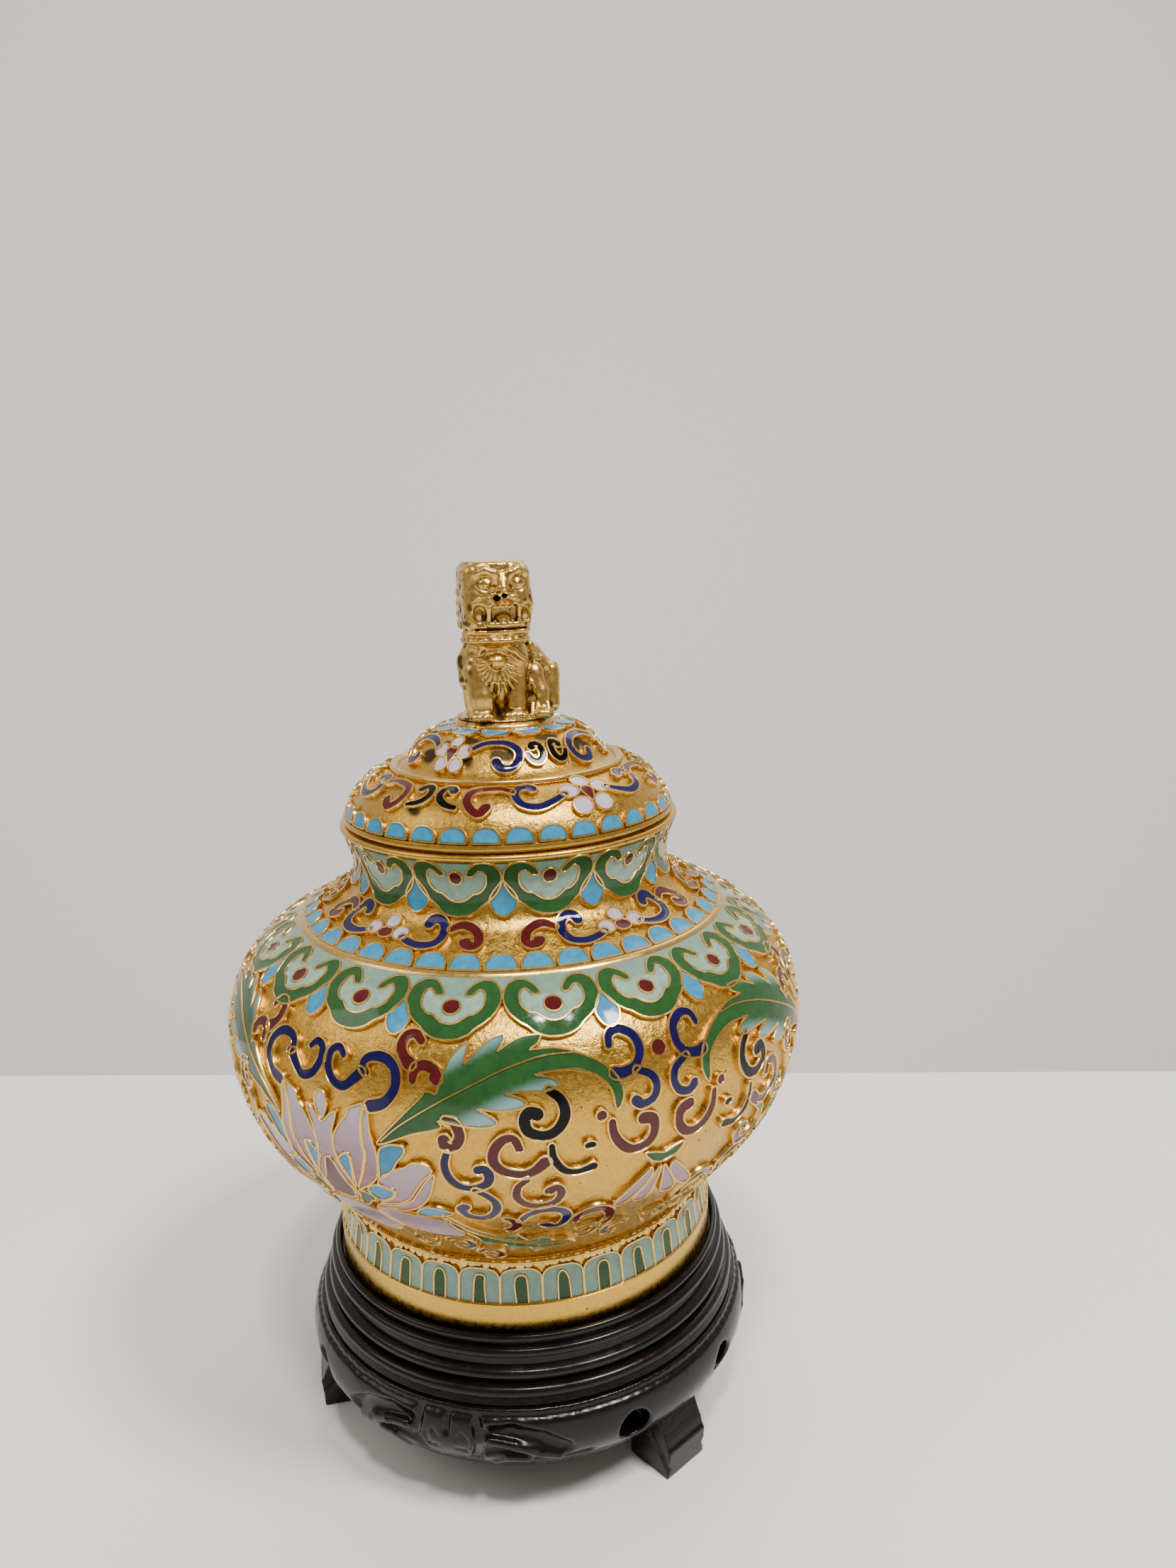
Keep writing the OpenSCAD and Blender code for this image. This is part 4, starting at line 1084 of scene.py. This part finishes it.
def lion_head(clay):
    yaw = math.radians(HEAD_YAW)
    right = np.array([math.cos(yaw), math.sin(yaw), 0])
    ahead = np.array([math.sin(yaw), -math.cos(yaw), 0])
    axes = np.stack([right, ahead, [0, 0, 1]], axis=1)

    def at(u, w, v):
        return HEAD + u * right + w * ahead + v * np.array([0, 0, 1])

    def face(u, w, v):
        """A place on the face, which sits a little to the right of the head's middle."""
        return at(u + FACE_SHIFT, w - 0.09 * FACE_SHIFT * u, v)

    clay.block(at(0, -0.2, 0), (5.1, 4.4, 5.2), 1.7, axes, 0.3)
    clay.ball(at(0.5, 2.4, -0.7), (4.9, 3.3, 4.4), 0.9, turn=axes)
    # cap rim round the flat top
    rim = [at(4.3 * math.cos(a), 3.6 * math.sin(a) - 0.1, 4.72) for a in np.linspace(0, 2 * math.pi, 25)]
    clay.limb(rim, 0.52, 0.5)
    for m in (-1, 1):
        # eye hollow, eyeball, lids and pupil
        clay.ball(face(2.35 * m, 5.9, 2.2), (2.0, 1.75, 1.55), 0.5, carve=True, turn=axes)
        clay.ball(face(2.2 * m, 4.0, 2.1), (1.35, 1.15, 1.2), 0.2, turn=axes)
        clay.ball(face(2.2 * m, 5.1, 2.1), (0.36, 0.25, 0.36), 0.15, turn=axes)
        lower = [face(x * m, w, v) for x, w, v in ((0.8, 5.2, 1.5), (1.8, 4.9, 0.75), (3.0, 4.5, 0.75),
                                                    (3.9, 3.9, 1.5))]
        clay.limb(lower, [0.3, 0.4, 0.4, 0.3], 0.35)
        clay.limb([face(0.7 * m, 5.0, 2.4), face(1.2 * m, 4.9, 3.6), face(2.4 * m, 4.5, 4.1),
                   face(3.8 * m, 3.7, 3.6)], [0.5, 0.62, 0.6, 0.45], 0.5)
        # nose wing, cheekbone, lip and jaw
        clay.limb([face(0.75 * m, 6.0, 1.6), face(1.75 * m, 5.8, 0.75), face(2.0 * m, 5.5, -0.2)],
                  0.32, 0.2, carve=True)
        clay.ball(face(1.1 * m, 6.1, 0.15), (0.9, 0.9, 0.7), 0.15, turn=axes)
        clay.ball(face(0.62 * m, 6.8, -0.3), 0.22, 0.1, carve=True)
        clay.limb([face(1.7 * m, 5.3, 0.0), face(2.9 * m, 4.6, -0.3), face(3.9 * m, 3.9, 0.0)],
                  [0.5, 0.55, 0.4], 0.4)
        clay.limb([face(0.2 * m, 5.7, -0.7), face(1.5 * m, 5.3, -0.75), face(2.3 * m, 4.8, -1.3)],
                  [0.45, 0.45, 0.36], 0.3)
        clay.limb([face(2.3 * m, 4.8, -1.2), face(2.3 * m, 4.5, -3.7)], 0.4, 0.3)
        # sunken cheek panel in a frame, with a swirl in it
        clay.ball(face(3.5 * m, 4.4, -2.2), (1.05, 1.0, 1.5), 0.25, carve=True, turn=axes)
        clay.ball(face(3.4 * m, 3.4, -2.4), (0.6, 0.55, 0.85), 0.2, turn=axes)
        clay.limb([face(2.3 * m, 5.2, -0.9), face(3.6 * m, 4.6, -0.5), face(4.5 * m, 3.6, -0.9)], 0.42, 0.25)
        clay.ball(at(4.8 * m, 0.4, 3.0), (0.6, 1.2, 1.2), 0.4, turn=axes)
        # rows of flat mane curls on the side
        for v in np.arange(-4.0, 2.4, 1.6):
            for w in (1.4, -0.2, -1.8, -3.4):
                curl = at(4.7 * m, w + 0.3 * math.sin(3 * v), v)
                clay.ball(curl, (0.58, 0.82, 0.8), 0.2, turn=axes)
                clay.ball(curl + 0.6 * m * right, 0.22, 0.15, carve=True)
    for v in np.arange(-4.0, 4.2, 1.62):
        for u in np.arange(-4.0, 4.1, 1.6):
            clay.ball(at(u, -4.3, v), (0.82, 0.58, 0.8), 0.2, turn=axes)
            clay.ball(at(u, -4.9, v), 0.22, 0.15, carve=True)
    clay.limb([face(0, 4.6, 3.4), face(0, 5.5, 1.4)], [0.55, 0.75], 0.45)
    clay.ball(face(0, 6.3, 0.5), (0.85, 0.95, 0.75), 0.2, turn=axes)
    # open mouth with tongue and teeth, and the jaw bands below it
    clay.block(face(0.1, 5.6, -2.35), (2.0, 1.7, 1.45), 0.5, axes, 0.2, carve=True)
    clay.ball(face(0, 4.2, -2.9), (1.2, 0.7, 0.7), 0.2, turn=axes)
    clay.limb([face(-2.1, 4.7, -3.85), face(2.1, 4.7, -3.85)], 0.42, 0.25)
    for u in (-1.35, -0.45, 0.45, 1.35):
        clay.ball(face(u, 4.7, -3.4), (0.34, 0.3, 0.4), 0.1, turn=axes)
        clay.ball(face(u, 4.9, -1.2), (0.34, 0.3, 0.38), 0.1, turn=axes)
    for v, carve in ((-4.2, False), (-4.65, True), (-5.0, False)):
        clay.limb([at(-4.6, 2.0, v), at(-3.1, 3.9, v), at(0.6, 4.6, v), at(3.6, 3.8, v), at(4.7, 2.0, v)],
                  0.3 if carve else 0.36, 0.25, carve)


def lion_body(clay):
    clay.ball((-0.9, -2.2, 9.0), (5.2, 3.9, 4.8), 0.7)
    clay.ball((0.8, -0.6, 4.6), (4.6, 3.9, 5.4), 0.8)
    clay.ball((4.0, 2.2, 4.6), (4.3, 4.6, 5.0), 0.8)
    clay.limb([(2.0, 0.8, 10.4), (3.8, 1.4, 9.0), (5.4, 2.4, 6.6)], [1.9, 2.2, 2.4], 0.8)
    clay.ball((0, 0, 0.1), (7.6, 7.2, 0.9), 0.4)
    # neck band
    turns = np.linspace(0, 2 * math.pi, 25)
    for z, r in ((13.2, 4.7), (12.35, 4.95)):
        clay.limb([(-0.7 + r * math.cos(a), -3.2 + 0.94 * r * math.sin(a), z) for a in turns], 0.38, 0.25)
    clay.ball((-0.7, -3.2, 12.4), (4.7, 4.4, 1.6), 0.3)
    # near arm and forelegs, parted by a deep groove
    clay.limb([(-4.5, -1.4, 11.0), (-5.3, -2.0, 8.8), (-5.3, -2.9, 6.0)], [1.5, 1.6, 1.4], 0.5)
    clay.limb([(-3.7, -4.2, 7.4), (-3.0, -5.3, 3.6), (-2.9, -5.6, 1.4)], [2.2, 1.9, 1.7], 0.45)
    clay.limb([(-5.2, -2.4, 6.4), (-4.8, -2.0, 1.2)], [1.3, 1.1], 0.4)
    clay.limb([(2.0, -3.0, 7.2), (2.1, -4.2, 1.4)], [1.9, 1.6], 0.45)
    clay.limb([(-0.35, -6.3, 5.2), (-0.3, -6.6, 0.9)], [0.35, 0.5], 0.4, carve=True)
    for x, y in ((-2.9, -6.2), (2.0, -5.0)):
        clay.ball((x, y, 0.9), (2.1, 1.7, 1.0), 0.35)
        for i in (-1.3, -0.45, 0.45, 1.3):
            clay.ball((x + i, y - 1.2 + 0.12 * i * i, 0.75), (0.5, 0.75, 0.62), 0.12)
    # hind leg, its foot with long toes, and the knobs along the back
    clay.ball((4.9, -1.9, 6.6), (1.6, 1.7, 2.0), 0.4)
    clay.limb([(5.0, -2.3, 6.6), (6.0, -3.2, 4.0), (6.4, -3.9, 1.4)], [1.3, 1.1, 0.9], 0.35)
    clay.ball((6.1, -4.2, 0.9), (1.9, 1.8, 1.0), 0.3)
    for i in (-1.1, -0.35, 0.4, 1.1):
        clay.limb([(5.8 + i, -4.2, 2.4), (5.9 + 1.25 * i, -5.5, 0.6)], 0.34, 0.12)
    clay.limb([(7.3, 1.2, 6.6), (7.5, -0.4, 1.6)], [1.5, 1.2], 0.45)
    clay.limb([(4.3, -0.5, 11.0), (4.9, -0.8, 9.0)], [0.7, 0.95], 0.25)
    clay.limb([(5.9, -0.3, 9.0), (6.5, -0.2, 7.6)], [0.6, 0.8], 0.25)
    clay.limb([(7.9, 1.4, 7.6), (8.0, 1.3, 5.6)], [0.6, 0.75], 0.25)
    for a in np.linspace(-0.3, 1.4, 6):
        clay.limb([(4.2 + 1.2 * math.cos(a), -3.7, 4.2 + 1.4 * math.sin(a)),
                   (3.8 + 2.4 * math.cos(a), -3.5, 3.6 + 3.0 * math.sin(a))], [0.36, 0.16], 0.15)
    # tail curling up the back
    clay.limb([(1.5, 6.0, 1.5), (0.4, 6.4, 4.5), (-0.8, 4.9, 8.0), (0.6, 3.2, 10.8)],
              [1.0, 1.2, 1.3, 0.7], 0.4)
    # chest boss under a curved strap, in a fan of long mane locks
    hub = np.array((-0.4, -6.3, 9.1))
    clay.ball(hub, (1.4, 1.15, 1.25), 0.2)
    clay.ball(hub + (-0.1, -0.85, 0.2), 0.42, 0.12)
    clay.limb([hub + (-3.0, 1.2, 0.8), hub + (-2.0, 0.4, 2.1), hub + (0.4, 0.2, 2.5), hub + (2.4, 0.6, 1.6),
               hub + (3.9, 1.3, 0.2)], [0.35, 0.5, 0.55, 0.55, 0.4], 0.25)
    clay.limb([hub + (-2.0, 0.8, 0.2), hub + (-1.2, 0.2, 1.4), hub + (0.4, 0.1, 1.65),
               hub + (1.7, 0.4, 0.9)], [0.25, 0.36, 0.36, 0.25], 0.15)
    for a in np.radians(np.arange(172, 350, 14)):
        x, z = math.cos(a), math.sin(a)
        far = 3.4 + 1.5 * max(-z, 0)
        clay.limb([hub + (1.5 * x, 0, 1.35 * z), hub + (0.65 * far * x, -0.1, 0.65 * far * z),
                   hub + (far * x, 0.3 + 0.13 * far * abs(x), far * z)], [0.3, 0.36, 0.26], 0.04)


def lion():
    clay = Clay((-8.2, -10.2, -0.4), (9.8, 8.6, 24.6), 0.17)
    lion_body(clay)
    lion_head(clay)
    points, faces, hollow = clay.surface()
    points += 0.015 * ripple(points, 1.1, 11)[:, None]
    points[:, 2] = np.maximum(points[:, 2], 0.02)
    # Painted shade: the lion's crevices are darkened in its colour in place of the shade that falls in them;
    # the spots and flank specks are patina
    pits = np.clip(5 * (hollow - 0.56), 0, 1)
    spots = np.clip(ripple(points, 2.6, 12) + 0.3, 0, 1) * np.clip(2 * ripple(points, 0.9, 13) - 1.7, 0, 1)
    flank = np.clip(-3.6 - points[:, 0], 0, 1) * np.clip(2 * ripple(points, 0.9, 14) - 1.0, 0, 1)
    piece = Piece("lion_cast", "cast")
    piece.add(points + [0, 0, PLINTH_Z], faces, grime=np.clip(0.8 * pits + spots + flank, 0, 0.9))
    piece.done("lid", "lion", sharp=180)
    turned_piece("lion_base", "cast", "lid", "lion_plinth",
                 [(1.55, 114.2), (7.9, 114.2), (8.0, 114.5), (7.95, 115.0), (7.5, 115.5), (6.8, PLINTH_Z),
                  (1.55, PLINTH_Z)], 240, rough=0.03)


# ---- stand ----
def stand_ring():
    turned_piece("stand_ring_wood", "lacquer", "stand", "stand_top_ring",
                 [(24, 19), (34.9, 19), (35.2, 19.3)] + arc(34.2, 20.9, 1, -50, 70, 8) + [(33.5, 21.9)]
                 + arc(33.3, 23.2, 0.9, -50, 60, 8) + [(32.8, 24.3), (32.6, 25.3)]
                 + arc(32.8, 26.4, 0.8, -60, 60, 8) + [(32.4, 27.3), (32.4, 27.9)]
                 + arc(32.2, 28.3, 0.6, -20, 90, 8)
                 + [(32.0, 28.85), (31.8, 28.6), (31.8, 26.5), (26, 26.5), (26, 21.5), (24, 21.5)])


# Directions of the three feet, in degrees from +X, and their CAD nodes
FEET = {"stand_foot_right": -47, "stand_foot_back": 73, "stand_foot_left": 193}


# The apron's face swells out from a circle of radius APRON_SWELL round (APRON_R, APRON_Z)
APRON_R = 30.2
APRON_Z = 14.6
APRON_SWELL = 7.1
CARVING_FOOT = 8.8
CARVING_STRETCH = 1.2


def apron_distance(p):
    r, z = np.hypot(p[..., 0], p[..., 1]), p[..., 2]
    swell = np.hypot(r - APRON_R, z - APRON_Z) - APRON_SWELL
    foot = (r - 33.2) * 0.825 - (z - 7) * 0.565
    return np.maximum.reduce([np.where(z > 9, swell, foot), 31 - r, z - 19, 7 - z])


def on_apron(angle, z, out=0.0):
    """A place on the apron's face, angle in degrees from +X."""
    r = APRON_R + math.sqrt(max(APRON_SWELL ** 2 - (z - APRON_Z) ** 2, 9)) + out
    return r * math.cos(math.radians(angle)), r * math.sin(math.radians(angle)), z


def apron():
    """The skirt of the stand: a raised cloud in the middle of each side, with leaves beside it."""
    clay = Clay((-37.8, -37.8, 6.4), (37.9, 37.9, 19.6), 0.3)
    clay.shape((-38, -38, 6), (38, 38, 20), apron_distance)

    def draw(middle, m, points, r, out, soft=0.3, carve=True):
        """Cuts or raises a line through (angle, z) points, mirrored about middle when m is -1."""
        clay.limb([on_apron(middle + m * a, CARVING_FOOT + CARVING_STRETCH * (z - CARVING_FOOT), out)
                   for a, z in points], r, soft, carve)

    for foot in FEET.values():
        middle = foot + 60
        draw(middle, 1, [(-7, 16.2), (-8, 13), (-6.4, 9.9), (-2, 9.2), (2, 9.2), (6.4, 9.9), (8, 13),
                         (7, 16.2)], 0.85, 0.1)
        draw(middle, 1, [(0, 16.4), (0, 14.4)], 0.6, 0.1)
        for m in (-1, 1):
            # cut-back ground, then leaves left proud, then scrolls of the cloud
            draw(middle, m, [(9, 14.6), (15, 15), (22, 14), (27, 12.2)], 1.7, 0.75)
            draw(middle, m, [(9.5, 12.2), (13, 12.6), (18, 12.2)], 1.3, 0.6)
            draw(middle, m, [(14, 9.9), (21, 10.2), (27, 9.8), (33, 10.2)], 1.1, 0.4)
            draw(middle, m, [(10.5, 13.9), (16, 13.2), (22, 11.8), (26, 10.9)], 0.7, -0.3, 0.25, False)
            draw(middle, m, [(11, 10.2), (14.5, 11.3), (19, 11.1)], 0.65, -0.25, 0.25, False)
            draw(middle, m, [(2.4, 12.2), (4.6, 12), (5.2, 13.6), (3.6, 14.4), (2.4, 13.6)], 0.32, 0.1, 0.2)
            draw(middle, m, [(1.6, 10.6), (4.4, 10.7)], 0.3, 0.1, 0.2)
            # pierced eye beside the foot
            eye = foot + m * 15.5
            clay.limb([on_apron(eye, 13.2, -9), on_apron(eye, 13.2, 3)], 2.55, 0.5, True)
        # groove under the top edge
        draw(middle, 1, [(a, 16.8) for a in np.linspace(-60, 60, 41)], 0.45, 0.2)
    points, faces, hollow = clay.surface()
    points += 0.03 * ripple(points, 3, 21)[:, None]
    outer = np.hypot(points[:, 0], points[:, 1]) > 33
    worn = np.clip(7 * (0.36 - hollow), 0, 1) * np.clip(2 * ripple(points, 5, 22) - 0.6, 0, 1)
    piece = Piece("stand_apron_carved", "lacquer")
    piece.add(points, faces, edge=0.8 * outer * worn)
    piece.done("stand", "stand_apron", sharp=180)


FOOT_HALF_WIDTH = 4.1


def feet():
    outline = [(28.6, 0), (36.6, 0), (37.1, 4.8), (34.8, 9.5), (31.9, 9.5), (28.6, 6.9)]
    groove = FOOT_HALF_WIDTH + 0.15
    for node, direction in FEET.items():
        a = math.radians(direction)
        axes = np.array([(math.cos(a), math.sin(a), 0), (-math.sin(a), math.cos(a), 0), (0, 0, 1)])

        def block(p):
            """Distance to the foot, whose side view is the outline."""
            far, wide, z = p @ axes[0], p @ axes[1], p[..., 2]
            sides = [np.abs(wide) - FOOT_HALF_WIDTH]
            for (l0, z0), (l1, z1) in zip(outline, outline[1:] + outline[:1]):
                n = math.hypot(l1 - l0, z1 - z0)
                sides.append(((far - l0) * (z1 - z0) - (z - z0) * (l1 - l0)) / n)
            return np.maximum.reduce(sides)

        def at(far, wide, z):
            return far * axes[0] + wide * axes[1] + np.array([0, 0, z])

        middle = at(32.8, 0, 0)
        clay = Clay(middle + [-7, -7, -0.5], middle + [7, 7, 10.2], 0.22)
        clay.shape(middle - 8, middle + [8, 8, 11], block)
        clay.limb([at(37.5, -5, 5.9), at(37.5, 5, 5.9)], 0.75, 0.5, True)
        for m in (-1, 1):
            clay.limb([at(far, groove * m, z) for far, z in ((29.5, 5.2), (33, 5.9), (35.5, 3.6),
                                                              (36.9, 1.6))], 0.4, 0.4, True)
        points, faces, hollow = clay.surface()
        points[:, 2] = np.maximum(points[:, 2], 0)
        points[:, :2] += 0.03 * ripple(points, 3, 22)[:, None]
        piece = Piece(node + "_carved", "lacquer")
        piece.add(points, faces, edge=np.clip(5 * (0.38 - hollow), 0, 0.8))
        piece.done("stand", node, sharp=180)


jar_metal()
foot_petals()
lappets("collar", count=18, phase=-9, middle=64, tall=1.0, dot=(0, 1.2, 1.0), band=(65.4, 69.0),
        drop=(59.5, 3.9, 2.35), replaced=("collar_lappets", "collar_ground_enamel", "collar_drops"),
        no_drop=(0,))
lappets("neck", count=12, phase=-14, middle=83.4, tall=0.93, dot=(1.4, 1.0, 1.1), band=(84.7, 87.2),
        drop=(79.1, 3.9, 4.6), replaced=("neck_lappets", "neck_ground_enamel", "neck_drops"))
shoulder()
belly()
lid_metal()
lid_enamel()
lion()
stand_ring()
apron()
feet()

# CAD pieces that keep their shape
for node, paint in (("stand_seat_board", "lacquer"), ("finial_stud", "cast"),
                    ("finial_washer", "cast"), ("finial_nut", "cast")):
    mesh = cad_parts[node].data
    mesh.materials.clear()
    mesh.materials.append(PAINTS[paint])


# ---- room ----
def room():
    """A pale table turned a little, a pale surround, and soft lamps (metres and watts)."""
    c, s = math.cos(math.radians(-3.1)), math.sin(math.radians(-3.1))
    corners = [(-1.2, -1.6), (1.2, -1.6), (1.2, 0.105), (-1.2, 0.105)]
    top = [(x * c - y * s, x * s + y * c, 0) for x, y in corners]
    low = [(x, y, -0.02) for x, y, _ in top]
    sides = [(i, (i + 1) % 4, (i + 1) % 4 + 4, i + 4) for i in range(4)]
    data = bpy.data.meshes.new("table")
    data.from_pydata(top + low, [], [(0, 1, 2, 3), (7, 6, 5, 4)] + [tuple(reversed(face)) for face in sides])
    data.materials.append(floor_paint())
    floor = bpy.data.objects.new("table", data)
    bpy.context.scene.collection.objects.link(floor)

    world = bpy.data.worlds.new("studio")
    world.use_nodes = True
    bpy.context.scene.world = world
    tree = world.node_tree
    where = tree.nodes.new("ShaderNodeTexCoord").outputs["Generated"]
    split = tree.nodes.new("ShaderNodeSeparateXYZ")
    tree.links.new(where, split.inputs[0])
    ramp = tree.nodes.new("ShaderNodeValToRGB")
    ramp.color_ramp.elements[0].color = (0.29, 0.26, 0.225, 1)
    ramp.color_ramp.elements[1].color = (0.93, 0.89, 0.84, 1)
    tree.links.new(split.outputs[1], ramp.inputs[0])
    back = tree.nodes["Background"]
    tree.links.new(ramp.outputs[0], back.inputs[0])
    back.inputs[1].default_value = 1.15

    def lamp(name, azimuth, elevation, far, wide, tall, watts, tint=(1, 1, 1)):
        data = bpy.data.lights.new(name, "AREA")
        data.shape = "RECTANGLE"
        data.size, data.size_y = wide, tall
        data.energy = watts
        data.color = tint
        a, e = math.radians(azimuth), math.radians(elevation)
        way = Vector((math.sin(a) * math.cos(e), -math.cos(a) * math.cos(e), math.sin(e)))
        light = bpy.data.objects.new(name, data)
        light.location = Vector((0, 0, 0.08)) + way * far
        light.rotation_euler = way.to_track_quat("Z", "Y").to_euler()
        bpy.context.scene.collection.objects.link(light)

    lamp("ceiling", 6, 67, far=0.9, wide=0.1, tall=0.1, watts=4.0)
    lamp("soft_left", -75, 40, far=1.0, wide=0.5, tall=0.5, watts=2.0, tint=(1, 0.97, 0.93))
    lamp("window_right", 54, 58, far=1.0, wide=0.2, tall=0.2, watts=9.0, tint=(1, 0.97, 0.92))
    lamp("rim", 170, 45, far=1.1, wide=0.9, tall=0.6, watts=3.0)


room()
